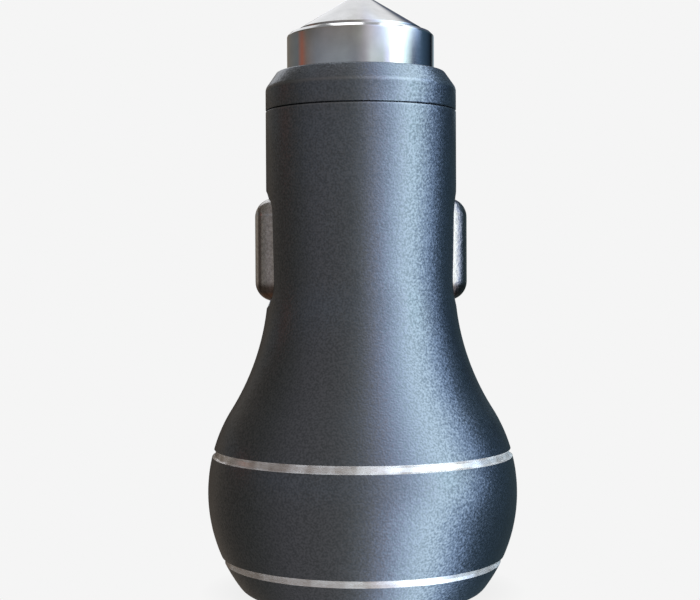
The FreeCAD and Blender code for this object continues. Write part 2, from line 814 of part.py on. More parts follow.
def make_circuit_board():
    """A stepped board: wide between the sockets, held in the frame's grooves, narrow between the webs."""
    body = new_body("circuit_board")
    face = new_sketch(body, "XZ_Plane", "board_outline")
    outline(face, [
        ("-board_lower_half", "board_bottom"),
        ("board_lower_half", "board_bottom"),
        ("board_lower_half", "board_lower_top"),
        ("board_middle_half", "board_lower_top"),
        ("board_middle_half", "board_middle_top"),
        ("board_upper_half", "board_middle_top"),
        ("board_upper_half", "board_top"),
        ("-board_upper_half", "board_top"),
        ("-board_upper_half", "board_middle_top"),
        ("-board_middle_half", "board_middle_top"),
        ("-board_middle_half", "board_lower_top"),
        ("-board_lower_half", "board_lower_top"),
    ])
    cut = pad(body, "board", face, "board_thickness", both_ways=True)
    bottom = value("board_bottom")
    top = value("board_top")

    def end_corner(edge):
        box = edge.BoundBox
        upright = box.XLength < SMALL and box.ZLength < SMALL
        return upright and (abs(box.ZMin - bottom) < SMALL or abs(box.ZMin - top) < SMALL)

    dress(body, "Fillet", "board_corners", cut, "board_corner", end_corner)
    return body


# USB sockets

def finger_profile(sketch, wall, inward):
    """A spring finger from the side: it ramps in from the wall's outer face and curls back at its free end."""
    end_bow = "(finger_bow - finger_lip_rise)"
    outline(sketch, [
        (wall, "finger_root"),
        (f"{wall} {inward} finger_bow", "finger_crown"),
        (f"{wall} {inward} {end_bow}", "finger_end"),
        (f"{wall} {inward} (port_sheet + {end_bow})", "finger_end"),
        (f"{wall} {inward} (port_sheet + finger_bow)", "finger_crown"),
        (f"{wall} {inward} port_sheet", "finger_root"),
    ])


def make_usb_shell(label):
    """The folded steel tube of a socket, with two spring fingers in each wide wall."""
    body = new_body(label)
    tube = new_sketch(body, "XY_Plane", "tube_outline", "plate_recess")
    rounded_rectangle(tube, ("0", "port_middle"), "port_width", "port_depth", "port_corner")
    rounded_rectangle(tube, ("0", "port_middle"), "port_width - 2 * port_sheet", "port_depth - 2 * port_sheet",
                      "port_corner - port_sheet")
    pad(body, "tube", tube, "port_length")
    windows = new_sketch(body, "XZ_Plane", "finger_window_outline", "-board_face")
    half_window = "(finger_width / 2 + finger_gap)"
    for side in ("-finger_across", "finger_across"):
        rectangle(windows, f"{side} - {half_window}", "finger_root", f"{side} + {half_window}", "finger_end + finger_gap")
    pocket(body, "finger_windows", windows, "port_depth")
    for name, side in (("left", "-finger_across"), ("right", "finger_across")):
        bent = new_sketch(body, "YZ_Plane", f"{name}_finger_profile", side)
        finger_profile(bent, "board_face", "+")
        finger_profile(bent, "port_far + port_sheet", "-")
        pad(body, f"{name}_fingers", bent, "finger_width", both_ways=True)
    return body


def lead_middles():
    """How far from the socket's middle each of its four leads lies."""
    inner = "lead_middle_pitch / 2"
    outer = "(lead_middle_pitch / 2 + lead_pitch)"
    return [f"-{outer}", f"-{inner}", inner, outer]


def make_usb_tongue(label):
    """The moulded block at the back of a socket and the tongue that carries its contacts."""
    body = new_body(label)
    block = new_sketch(body, "XY_Plane", "block_outline", "block_start")
    rectangle(block, "-block_half", "block_near", "block_half", "port_far - press_clearance")
    blocked = pad(body, "block", block, "tongue_block_length")
    block_half = value("block_half")

    def block_corner(edge):
        box = edge.BoundBox
        return box.XLength < SMALL and box.YLength < SMALL and abs(abs(box.XMin) - block_half) < SMALL

    dress(body, "Fillet", "block_rounds", blocked, "port_corner - port_sheet", block_corner)
    blade = new_sketch(body, "XY_Plane", "tongue_outline", "tongue_tip")
    rectangle(blade, "-tongue_half", "tongue_face", "tongue_half", "tongue_far")
    pad(body, "tongue", blade, "block_start - tongue_tip")
    for number, middle in enumerate(lead_middles(), start=1):
        channel = new_sketch(body, "XY_Plane", f"channel_{number}_outline", "port_end")
        channel_half = "(lead_width / 2 + press_clearance)"
        rectangle(channel, f"{middle} - {channel_half}", "block_near", f"{middle} + {channel_half}", "tongue_face")
        pocket(body, f"channel_{number}", channel, "tongue_block_length")
    return body


def make_usb_contacts(label):
    """Four sprung leads: each bows off the tongue, runs back through the block and turns to the board."""
    body = new_body(label)
    bow_round = "((lead_bow_length / 2)^2 + lead_bow^2) / (2 * lead_bow)"
    near = "tongue_face - lead_thickness"
    bow_start = "tongue_tip + lead_width / 2"
    bow_end = f"{bow_start} + lead_bow_length"
    turn_end = "port_end + slip_clearance + lead_thickness"
    for number, middle in enumerate(lead_middles(), start=1):
        side = new_sketch(body, "YZ_Plane", f"lead_{number}_profile", middle)
        outline(side, [
            ("tongue_face", "tongue_tip"),
            ("tongue_face", bow_start, bow_round, -1),
            ("tongue_face", bow_end),
            ("tongue_face", turn_end),
            ("board_face", turn_end),
            ("board_face", "port_end + slip_clearance"),
            (near, "port_end + slip_clearance"),
            (near, bow_end, bow_round, 1),
            (near, bow_start),
            (near, "tongue_tip"),
        ])
        pad(body, f"lead_{number}", side, "lead_width", both_ways=True)
    return body


def make_face_plate():
    """A cupped plastic plug: a plate with two windows for the sockets, and a skirt up to the frame."""
    body = new_body("face_plate")
    section = new_sketch(body, "XZ_Plane", "plate_section")
    outline(section, [
        ("0", "plate_recess"),
        ("plate_radius - plate_bevel", "plate_recess"),
        ("plate_radius", "plate_recess + plate_bevel"),
        ("plate_radius", "skirt_top"),
        ("skirt_bore", "skirt_top"),
        ("skirt_bore", "plate_back"),
        ("0", "plate_back"),
    ])
    turn(body, "plate_turning", section)
    windows = new_sketch(body, "XY_Plane", "window_outline", "plate_back")
    width = "port_width + 2 * slip_clearance"
    depth = "port_depth + 2 * slip_clearance"
    corner = "port_corner + slip_clearance"
    rounded_rectangle(windows, ("0", "port_middle"), width, depth, corner)
    rounded_rectangle(windows, ("0", "-port_middle"), width, depth, corner)
    pocket(body, "windows", windows, "plate_thickness")
    return body


# Parts on the circuit board

FRONT = 1
BACK = -1


def board_sketch(body, name, side):
    """A sketch on the board's front or back face: X across and Z up."""
    return new_sketch(body, "XZ_Plane", name, "board_face" if side == FRONT else "-board_face")


def stand(body, name, sketch, side, height):
    """A pad off the board's face."""
    return pad(body, name, sketch, height, back=side == BACK)


def block_at(sketch, across, up, width, length):
    """A rectangle about a middle."""
    rectangle(
        sketch,
        f"{across} - ({width}) / 2",
        f"{up} - ({length}) / 2",
        f"{across} + ({width}) / 2",
        f"{up} + ({length}) / 2",
    )


def make_power_inductor():
    """A moulded power inductor with cut corners."""
    body = new_body("power_inductor")
    base = board_sketch(body, "inductor_outline", BACK)
    block_at(base, "0", "inductor_up", "inductor_side", "inductor_side")
    block = stand(body, "inductor_block", base, BACK, "inductor_height")
    top = value("board_face + inductor_height")
    cut = dress(body, "Chamfer", "inductor_corners", block, "inductor_corner",
                lambda edge: edge.BoundBox.YLength > SMALL)
    dress(body, "Chamfer", "inductor_top_bevel", cut, "inductor_edge",
          lambda edge: edge.BoundBox.YLength < SMALL and abs(edge.BoundBox.YMax - top) < SMALL)
    return body


def make_can_capacitor(label, side, up):
    """A crimped aluminium can on a moulded base with two cut corners."""
    body = new_body(label)
    base = board_sketch(body, "base_outline", side)
    block_at(base, "0", up, "can_base_side", "can_base_side")
    block = stand(body, "base", base, side, "can_base_height")
    middle = value(up)
    cut = dress(body, "Chamfer", "base_corners", block, "can_base_corner",
                lambda edge: edge.BoundBox.YLength > SMALL and edge.BoundBox.ZMin > middle)
    round_outline = board_sketch(body, "can_outline", side)
    circle(round_outline, "0", up, "can_radius")
    can = stand(body, "can", round_outline, side, "can_height")
    far = value("board_face + can_height")
    rounded = dress(body, "Fillet", "can_top", can, "can_top_round",
                    lambda edge: abs(abs(edge.BoundBox.YMin) - far) < SMALL and edge.BoundBox.YLength < SMALL)
    crimp = new_sketch(body, "XZ_Plane", "crimp_outline",
                       f"{side} * (board_face + can_crimp_height)")
    circle(crimp, "0", up, "can_base_side / 2")
    circle(crimp, "0", up, "can_radius - can_crimp_depth")
    pocket(body, "crimp", crimp, "can_crimp_width", back=side == FRONT)
    return body


def make_leaded_chip(label, side, across, up, kind, feet):
    """A moulded chip with a row of bent feet along each side."""
    body = new_body(label)
    raised = board_sketch(body, "chip_outline", side)
    block_at(raised, across, up, f"{kind}_width", f"{kind}_length")
    stand(body, "chip", raised, side, f"{kind}_height")
    span = f"({feet - 1} * {kind}_pitch)"
    first = f"{up} - {span} / 2"
    toe = board_sketch(body, "toe_outline", side)
    block_at(toe, across, first, f"{kind}_width + 2 * {kind}_foot", "foot_width")
    toes = stand(body, "toes", toe, side, "foot_thickness")
    knee = board_sketch(body, "knee_outline", side)
    block_at(knee, across, first, f"{kind}_width + {kind}_foot", "foot_width")
    knees = stand(body, "knees", knee, side, f"{kind}_height / 2")
    row = body.newObject("PartDesign::LinearPattern", "feet")
    row.Originals = [toes, knees]
    row.Direction = (knee, ["V_Axis"])
    row.setExpression("Length", tied(span))
    row.Occurrences = feet
    body.Tip = row
    doc.recompute()
    return body


def make_end_capped(label, side, kind, places):
    """One or more small blocks, each with a metal cap on its lower and upper end."""
    body = new_body(label)
    blocks = board_sketch(body, "block_outline", side)
    caps = board_sketch(body, "cap_outline", side)
    cap_width = f"{kind}_width + 2 * end_cap_thickness"
    shift = f"({kind}_length - end_cap_length) / 2"
    for across, up in places:
        block_at(blocks, across, up, f"{kind}_width", f"{kind}_length")
        block_at(caps, across, f"{up} - {shift}", cap_width, "end_cap_length")
        block_at(caps, across, f"{up} + {shift}", cap_width, "end_cap_length")
    stand(body, "blocks", blocks, side, f"{kind}_height")
    stand(body, "caps", caps, side, f"{kind}_height + end_cap_thickness")
    return body


resistor_places = [
    (across, f"resistor_up - {row} * resistor_step")
    for row in range(2)
    for across in ("-resistor_across", "0", "resistor_across")
]
capacitor_places = [
    (across, f"capacitor_up + {row} * capacitor_step")
    for row in range(2)
    for across in ("-capacitor_across", "capacitor_across")
]
parts = [
    make_shell(),
    make_nose_cap(),
    make_tip_insulator(),
    make_hammer_tip(),
    make_tip_spring(),
    make_positive_terminal(),
    make_circuit_board(),
    make_face_plate(),
    make_power_inductor(),
    make_can_capacitor("input_capacitor", FRONT, "input_can_up"),
    make_can_capacitor("output_capacitor", BACK, "output_can_up"),
    make_leaded_chip("converter_chip", FRONT, "0", "converter_up", "converter", 4),
    make_leaded_chip("controller_chip", BACK, "controller_across", "controller_up", "controller", 3),
    make_end_capped("rectifier_diode", FRONT, "diode", [("0", "diode_up")]),
    make_end_capped("resettable_fuse", BACK, "fuse", [("fuse_across", "fuse_up")]),
    make_end_capped("chip_resistors", FRONT, "resistor", resistor_places),
    make_end_capped("chip_capacitors", BACK, "capacitor", capacitor_places),
]
for front, back, make in (
    ("inner_frame_front", "inner_frame_back", make_frame_half),
    ("ground_contact_left", "ground_contact_right", make_ground_contact),
    ("contact_spring_left", "contact_spring_right", make_contact_spring),
    ("usb_shell_front", "usb_shell_back", make_usb_shell),
    ("usb_tongue_front", "usb_tongue_back", make_usb_tongue),
    ("usb_contacts_front", "usb_contacts_back", make_usb_contacts),
):
    turned_piece = make(front)
    half_turn(turned_piece)
    parts += [turned_piece, make(back)]

doc.recompute()
for thing in doc.Objects:
    if "Invalid" in thing.State or "Error" in thing.State:
        raise ValueError(f"{thing.Label}: {thing.State}")
for part in parts:
    if part.Shape.isNull() or not part.Shape.isValid():
        raise ValueError(f"{part.Label}: its shape is not sound")
os.makedirs("parts", exist_ok=True)
for part in parts:
    part.Shape.exportStep(f"parts/{part.Label}.step")
    print(part.Label, len(part.Shape.Solids), round(part.Shape.Volume, 2))
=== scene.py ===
from math import asin, atan2, cos, degrees, pi, radians, sin, sqrt

import bmesh
import bpy
import numpy as np
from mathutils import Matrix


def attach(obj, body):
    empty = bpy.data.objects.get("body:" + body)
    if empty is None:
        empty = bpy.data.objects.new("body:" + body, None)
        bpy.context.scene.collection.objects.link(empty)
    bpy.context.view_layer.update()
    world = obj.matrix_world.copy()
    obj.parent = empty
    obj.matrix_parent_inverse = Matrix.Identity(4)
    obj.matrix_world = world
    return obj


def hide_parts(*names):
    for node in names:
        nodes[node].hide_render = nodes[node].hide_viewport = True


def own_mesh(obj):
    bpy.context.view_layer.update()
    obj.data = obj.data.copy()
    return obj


# A metal car charger with a hammer tip, standing on its USB end.
# Shapes are worked out in millimetres on numpy grids and stored in metres.
# X runs through the two side contacts, -Y is the front and Z runs up the axis.

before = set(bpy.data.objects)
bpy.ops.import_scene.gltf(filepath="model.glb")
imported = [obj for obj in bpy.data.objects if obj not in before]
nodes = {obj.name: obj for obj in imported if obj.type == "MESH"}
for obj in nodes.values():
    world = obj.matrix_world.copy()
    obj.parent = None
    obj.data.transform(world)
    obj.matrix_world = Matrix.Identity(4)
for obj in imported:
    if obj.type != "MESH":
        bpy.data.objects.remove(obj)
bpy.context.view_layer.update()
MM = 0.001
# Columns round a turned piece, and the turn past which an edge shows sharp
ROUND = 192
SHARP = radians(32)


# Shapes


def smooth_piece(name, mesh):
    """A piece made of a mesh, smooth except across edges that turn by more than SHARP."""
    mesh.shade_smooth()
    mesh.set_sharp_from_angle(angle=SHARP)
    piece = bpy.data.objects.new(name, mesh)
    bpy.context.scene.collection.objects.link(piece)
    return piece


def piece_from(name, points, faces):
    """A piece from points in millimetres and faces."""
    mesh = bpy.data.meshes.new(name)
    mesh.from_pydata(np.asarray(points) * MM, [], faces)
    mesh.validate()
    return smooth_piece(name, mesh)


def arc(middle, radius, start, end, steps):
    """Points on a circle: middle plus radius times (cos a, sin a), for a from start to end in degrees."""
    turn = np.radians(np.linspace(start, end, steps + 1))
    return np.stack([middle[0] + radius * np.cos(turn), middle[1] + radius * np.sin(turn)], 1)


def eased(corners, steps):
    """An outline with its corners rounded: each corner is (across, up) or (across, up, radius).

    A round of radius r in a corner that turns by t starts r * tan(t / 2) before it. Its middle lies r to the
    side of that point, and its points go round that middle by t.
    """
    places = np.array([corner[:2] for corner in corners], float)
    parts = []
    for number, corner in enumerate(corners):
        here = places[number]
        if len(corner) < 3:
            parts.append(here[None])
            continue
        ahead = places[(number + 1) % len(places)] - here
        behind = here - places[number - 1]
        ahead, behind = ahead / np.linalg.norm(ahead), behind / np.linalg.norm(behind)
        cross = behind[0] * ahead[1] - behind[1] * ahead[0]
        turn = atan2(cross, behind @ ahead)
        start = here - behind * corner[2] * np.tan(abs(turn) / 2)
        inward = np.array([-behind[1], behind[0]]) * np.sign(turn)
        share = np.linspace(0, turn, steps + 1)[:, None]
        spoke = -inward * np.cos(share) + behind * np.sign(turn) * np.sin(share)
        parts.append(start + inward * corner[2] + spoke * corner[2])
    return np.concatenate(parts)


def circles(outline):
    """A grid of points: each outline point (r, z) turned about Z, at (r cos a, r sin a, z)."""
    turn = np.arange(ROUND) * 2 * pi / ROUND
    across, up = outline[:, 0, None], outline[:, 1, None]
    return np.stack([across * np.cos(turn), across * np.sin(turn), up + 0 * turn], 2)


def ring_quads(rows, closed):
    """Quads between neighbouring rows of a grid from circles, and if closed between its last and first."""
    row = np.arange(rows if closed else rows - 1)[:, None]
    column = np.arange(ROUND)[None]
    after, beside = (row + 1) % rows, (column + 1) % ROUND
    corners = [row * ROUND + column, row * ROUND + beside, after * ROUND + beside, after * ROUND + column]
    return np.stack(corners, 2)


def turned(name, outline):
    """A ring-shaped piece: a closed outline of (r, z), anticlockwise, turned about Z."""
    quads = ring_quads(len(outline), closed=True)
    return piece_from(name, circles(outline).reshape(-1, 3), quads.reshape(-1, 4))


def turned_solid(name, outline):
    """A solid of turning: an open outline from a lower to an upper point on Z, with a fan at each end."""
    rim = outline[1:-1]
    points = np.concatenate([circles(rim).reshape(-1, 3), [[0, 0, outline[0, 1]], [0, 0, outline[-1, 1]]]])
    quads = ring_quads(len(rim), closed=False).reshape(-1, 4)
    column = np.arange(ROUND)
    beside = (column + 1) % ROUND
    last = (len(rim) - 1) * ROUND
    foot, head = 0 * column + len(points) - 2, 0 * column + len(points) - 1
    fans = [np.stack([foot, beside, column], 1), np.stack([head, last + column, last + beside], 1)]
    return piece_from(name, points, quads.tolist() + np.concatenate(fans).tolist())


# The outer shell, in millimetres. First the bulb, a ball by its middle's height and its radius
BALL_MIDDLE, BALL = 10.83, 16.748
# The foot: the mouth's radius, its bevel and rounds, the flat rim's edge and the round from there to the ball
MOUTH, MOUTH_BEVEL, MOUTH_ROUNDS, FLAT, FOOT = 10.798, 0.35, (0.08, 0.12), 11.813, 2.0
# The neck's hollow arc, its narrowest radius and the height of that
NECK, WAIST = 26.36, 10.12
WAIST_UP = BALL_MIDDLE + sqrt((NECK + BALL) ** 2 - (WAIST + NECK) ** 2)
# The barrel: its radius, where its slight cone ends, and the seam with half its gap, the round at its edge
# and the straight run below
BARREL, STRAIGHT_UP, SEAM = 10.3, 43.71, 51.96
SEAM_GAP, SEAM_ROUND, SEAM_RUN = 0.05, 0.12, 4
# Inside: the bore and the height where it widens to the mouth, and the seat of the nose cap
BORE, MOUTH_UP, CAP_BORE, CAP_FLOOR = 8.9, 22.0, 9.65, 47.55
# The two cut rings' heights, and the width, the floor's width and the depth of their grooves
RINGS = (15.17, 3.7)
RING_WIDTH, RING_FLOOR, RING_DEPTH = 0.85, 0.45, 0.26
# The slots for the side contacts
SLOT_UP, SLOT_WIDTH, SLOT_LENGTH, SLOT_CORNER, SLOT_BEVEL = 37.05, 6.4, 12.4, 2.6, 0.16
# The block of quads that makes room for a slot: its columns each way, its margin past the slot's ends and its
# rows
HOLE_COLUMNS, HOLE_MARGIN, HOLE_ROWS = 15, 2.2, 44
# Steps along the outline's parts, from the mouth up to the seam, and round each corner of a slot
MOUTH_STEPS, FOOT_STEPS, LOW_STEPS, BELLY_STEPS = 3, 9, 6, 40
SHOULDER_STEPS, NECK_STEPS, SEAM_STEPS, SLOT_STEPS = 18, 46, 4, 24
# Rings of points round a slot: shares of the way to it from the block's border, turns of its bevel in
# degrees, and shares of its wall
BORDER_SHARES, BEVEL_TURNS, WALL_SHARES = (0.25, 0.5, 0.75, 1), (22.5, 45, 67.5, 90), (0, 0.4, 0.8)


def waist_at(up):
    """The shell's radius over the slots: the neck's arc below the waist, and a slight cone above it."""
    neck = WAIST + NECK - np.sqrt(np.maximum(NECK**2 - (up - WAIST_UP) ** 2, 0))
    cone = WAIST + (BARREL - WAIST) * np.clip((up - WAIST_UP) / (STRAIGHT_UP - WAIST_UP), 0, 1)
    return np.where(up < WAIST_UP, neck, cone)


def ring_groove(up):
    """Four corners of a ring's groove, each at (r cos a, r sin a) from the middle of the ball."""
    along = np.array([-RING_WIDTH, -RING_FLOOR, RING_FLOOR, RING_WIDTH]) / 2
    radius = BALL - np.array([0, RING_DEPTH, RING_DEPTH, 0])
    turn = asin((up - BALL_MIDDLE) / BALL) + along / BALL
    return np.stack([radius * np.cos(turn), BALL_MIDDLE + radius * np.sin(turn)], 1)


def ball_arc(low, high, steps):
    """Points on the ball between two heights."""
    turns = [degrees(asin((up - BALL_MIDDLE) / BALL)) for up in (low, high)]
    return arc((0, BALL_MIDDLE), BALL, *turns, steps)


def shell_outline():
    """The shell's closed outline, up its outside and down its bore, and the row at which each part starts."""
    upper, lower = (ring_groove(up) for up in RINGS)
    foot_turn = degrees(atan2(FOOT - BALL_MIDDLE, FLAT))
    foot_up = BALL_MIDDLE + BALL * sin(radians(foot_turn))
    neck_low = BALL_MIDDLE + BALL * sqrt(1 - ((WAIST + NECK) / (NECK + BALL)) ** 2)
    neck_turn = degrees(asin((WAIST_UP - neck_low) / NECK))
    hole_low, hole_high = (SLOT_UP + end * (SLOT_LENGTH / 2 + HOLE_MARGIN) for end in (-1, 1))
    hole_turn = degrees(asin((WAIST_UP - hole_low) / NECK))
    hole_rows = np.linspace(hole_low, hole_high, HOLE_ROWS + 1)
    rim_up = SEAM - SEAM_GAP
    parts = {
        "mouth": eased([
            (MOUTH, MOUTH_BEVEL, MOUTH_ROUNDS[0]), (MOUTH + MOUTH_BEVEL, 0, MOUTH_ROUNDS[1]), (FLAT, 0),
        ], MOUTH_STEPS),
        "foot": arc((FLAT, FOOT), FOOT, -90, foot_turn, FOOT_STEPS)[1:-1],
        "low": ball_arc(foot_up, lower[0, 1], LOW_STEPS)[:-1],
        "lower_ring": lower,
        "belly": ball_arc(lower[3, 1], upper[0, 1], BELLY_STEPS)[1:-1],
        "upper_ring": upper,
        "shoulder": ball_arc(upper[3, 1], neck_low, SHOULDER_STEPS)[1:],
        "neck": arc((WAIST + NECK, WAIST_UP), NECK, 180 + neck_turn, 180 + hole_turn, NECK_STEPS)[1:-1],
        "outer_hole": np.stack([waist_at(hole_rows), hole_rows], 1),
        "seam": eased([
            (BARREL, SEAM - SEAM_RUN), (BARREL, rim_up, SEAM_ROUND), (CAP_BORE, rim_up),
            (CAP_BORE, CAP_FLOOR), (BORE, CAP_FLOOR),
        ], SEAM_STEPS),
        "inner_hole": np.stack([BORE + 0 * hole_rows, hole_rows[::-1]], 1),
        "bore": np.array([(BORE, MOUTH_UP), (MOUTH, MOUTH_UP)]),
    }
    starts = np.cumsum([0] + [len(part) for part in parts.values()])
    return np.concatenate(list(parts.values())), dict(zip(parts, starts))


def slot_loop(counts, offset):
    """Points round a slot's outline, offset outwards, as (y, z).

    The outline is a rectangle with quarter rounds. It is split at the middle of each round, and each of its
    four sides has as many steps as counts says, evenly along its length.
    """
    half = np.array([SLOT_WIDTH, SLOT_LENGTH]) / 2 - SLOT_CORNER
    corners = [(-1, -1, 225), (1, -1, 315), (1, 1, 45), (-1, 1, 135)]
    loops = []
    for number, (side, end, turn) in enumerate(corners):
        rounds = ((side, end, turn), (*corners[(number + 1) % 4][:2], turn + 45))
        path = np.concatenate([
            arc((across * half[0], up * half[1]), SLOT_CORNER + offset, start, start + 45, SLOT_STEPS)
            for across, up, start in rounds
        ])
        run = np.concatenate([[0], np.cumsum(np.hypot(*np.diff(path, axis=0).T))])
        even = np.linspace(0, run[-1], counts[number] + 1)[:-1]
        loops.append(np.stack([np.interp(even, run, path[:, 0]), np.interp(even, run, path[:, 1])], 1))
    return np.concatenate(loops) + (0, SLOT_UP)


def hole_border(first_row, side, rising):
    """Grid numbers round a hole in the shell's grid, in the order of slot_loop."""
    middle = 0 if side > 0 else ROUND // 2
    across = np.arange(-HOLE_COLUMNS, HOLE_COLUMNS)
    up = np.arange(HOLE_ROWS)
    rows = np.concatenate([0 * across, up, 0 * across + HOLE_ROWS, HOLE_ROWS - up])
    columns = np.concatenate([across, 0 * up + HOLE_COLUMNS, -across, 0 * up - HOLE_COLUMNS])
    if not rising:
        rows = HOLE_ROWS - rows
    return (first_row + rows) * ROUND + (middle + columns) % ROUND


def reach_at(flat, radius):
    """How far out points (y, z) lie on a face of a radius: the root of radius squared less y squared."""
    return np.sqrt(radius**2 - flat[:, 0] ** 2)


def make_shell():
    """The shell as one closed surface.

    Its outline is turned about Z. Round each slot a block of quads is left out, outside and inside, and
    filled with rings: from the block's border to the slot's edge, round its bevel, and through the wall.
    """
    outline, start = shell_outline()
    points = [circles(outline).reshape(-1, 3)]
    quads = ring_quads(len(outline), closed=True)
    kept = np.ones(quads.shape[:2], bool)
    counts = (2 * HOLE_COLUMNS, HOLE_ROWS) * 2
    total, filled = len(points[0]), []
    for side in (1, -1):
        middle = 0 if side > 0 else ROUND // 2
        columns = (middle + np.arange(-HOLE_COLUMNS, HOLE_COLUMNS)) % ROUND
        for part in ("outer_hole", "inner_hole"):
            kept[start[part] : start[part] + HOLE_ROWS][:, columns] = False
        borders = [
            hole_border(start["outer_hole"], side, rising=True),
            hole_border(start["inner_hole"], side, rising=False),
        ]
        outer, inner = (points[0][border][:, 1:] * (side, 1) for border in borders)
        edge, wall = slot_loop(counts, SLOT_BEVEL), slot_loop(counts, 0)
        rings = []
        for share in BORDER_SHARES:
            flat = outer + (edge - outer) * share
            rings.append((flat, reach_at(flat, waist_at(flat[:, 1]))))
        for turn in np.radians(BEVEL_TURNS):
            flat = slot_loop(counts, SLOT_BEVEL * (1 - sin(turn)))
            rings.append((flat, reach_at(flat, waist_at(flat[:, 1])) - SLOT_BEVEL * (1 - cos(turn))))
        for share in WALL_SHARES:
            flat = wall + (inner - wall) * share
            rings.append((flat, reach_at(flat, BORE)))
        loops = [borders[0]]
        for flat, across in rings:
            points.append(np.stack([side * across, side * flat[:, 0], flat[:, 1]], 1))
            loops.append(total + np.arange(len(flat)))
            total += len(flat)
        loops = np.array(loops + [borders[1]])
        beside = np.roll(loops, -1, axis=1)
        filled.append(np.stack([loops[:-1], beside[:-1], beside[1:], loops[1:]], 2).reshape(-1, 4))
    # The three rows of quads between a groove's four corners are bare metal
    bare = np.zeros(quads.shape[:2], int)
    for part in ("lower_ring", "upper_ring"):
        bare[start[part] : start[part] + 3] = 1
    faces = np.concatenate([quads[kept]] + filled)
    piece = piece_from("shell_turned", np.concatenate(points), faces)
    dress(piece, anodised, bare_cut)
    finishes = np.zeros(len(faces), int)
    finishes[: kept.sum()] = bare[kept]
    piece.data.polygons.foreach_set("material_index", finishes)
    return piece


# Outlines of turned pieces, anticlockwise, with corners (r, z) or (r, z, round). First the bevelled ring over
# the seam, with its spigot
CAP = (
    (9.1, 47.6), (9.6, 47.6), (9.6, SEAM + SEAM_GAP), (BARREL, SEAM + SEAM_GAP, SEAM_ROUND),
    (BARREL, 54.36, 1.0), (9.07, 56.12, 0.32), (8.35, 56.12, 0.06), (8.35, 55.07), (8.7, 55.07), (8.7, 54.07),
    (9.1, 54.07),
)
# The plastic bush that shows as a thin dark ring round the tip
BUSH = (
    (8.6, 47.6), (9.05, 47.6), (9.05, 54.02), (8.65, 54.02), (8.65, 55.02), (8.3, 55.02), (8.3, 56.08, 0.05),
    (8.06, 56.08, 0.05), (8.06, 53.57), (8.6, 53.57),
)
# The hammer tip: hollow for its spring, with a flange, a collar with a round shoulder, a low land and a cone
TIP = (
    (0, 57.17), (4.3, 57.17), (4.3, 52.67), (8.45, 52.67, 0.15), (8.45, 53.47, 0.05), (7.95, 53.47),
    (7.95, 60.0, 0.25), (7.55, 60.38, 0.1), (6.66, 60.4), (6.66, 60.8, 0.05), (0.24, 64.76, 0.3), (0, 64.85),
)
# Steps in each round of these
CAP_STEPS, BUSH_STEPS, TIP_STEPS = 6, 3, 7

# A side contact's pad: how far out it stands and starts, its lower and upper end and the round of its outline
PAD_REACH, PAD_FOOT, PAD_LOW, PAD_HIGH, PAD_CORNER = 11.5, 7.9, 31.5, 42.6, 2.05
# Across it: its half width, the dome's radius, the round at its edge, and how much the dome draws in its ends
PAD_HALF, PAD_DOME, PAD_EDGE, PAD_END = 2.9, 2.95, 0.1, 0.42
# The flat rim behind it, which keeps it in the shell
RIM_REACH, RIM_FOOT, RIM_WIDTH, RIM_LENGTH, RIM_CORNER = 7.9, 7.2, 7.6, 13.8, 1.0
# Steps round the outline's corners, along its face, over half the dome, and round the dome's and rim's edges
CORNER_STEPS, FACE_STEPS, DOME_STEPS, EDGE_STEPS, RIM_STEPS = 12, 10, 11, 6, 6


def pad_profile(inset):
    """The contact's outline from the front, up its outer face and round both corners, drawn in by an inset.

    Its ends are drawn in by a share of the inset, and its corners lose as much of their radius.
    """
    ends = inset * PAD_END
    reach, low, high, corner = PAD_REACH - inset, PAD_LOW + ends, PAD_HIGH - ends, PAD_CORNER - ends
    lower = arc((reach - corner, low + corner), corner, -90, 0, CORNER_STEPS)
    upper = arc((reach - corner, high - corner), corner, 0, 90, CORNER_STEPS)
    up = np.linspace(low + corner, high - corner, FACE_STEPS + 1)[1:-1]
    face = np.stack([0 * up + reach, up], 1)
    return np.concatenate([[(PAD_FOOT, low)], lower, face, upper, [(PAD_FOOT, high)]])


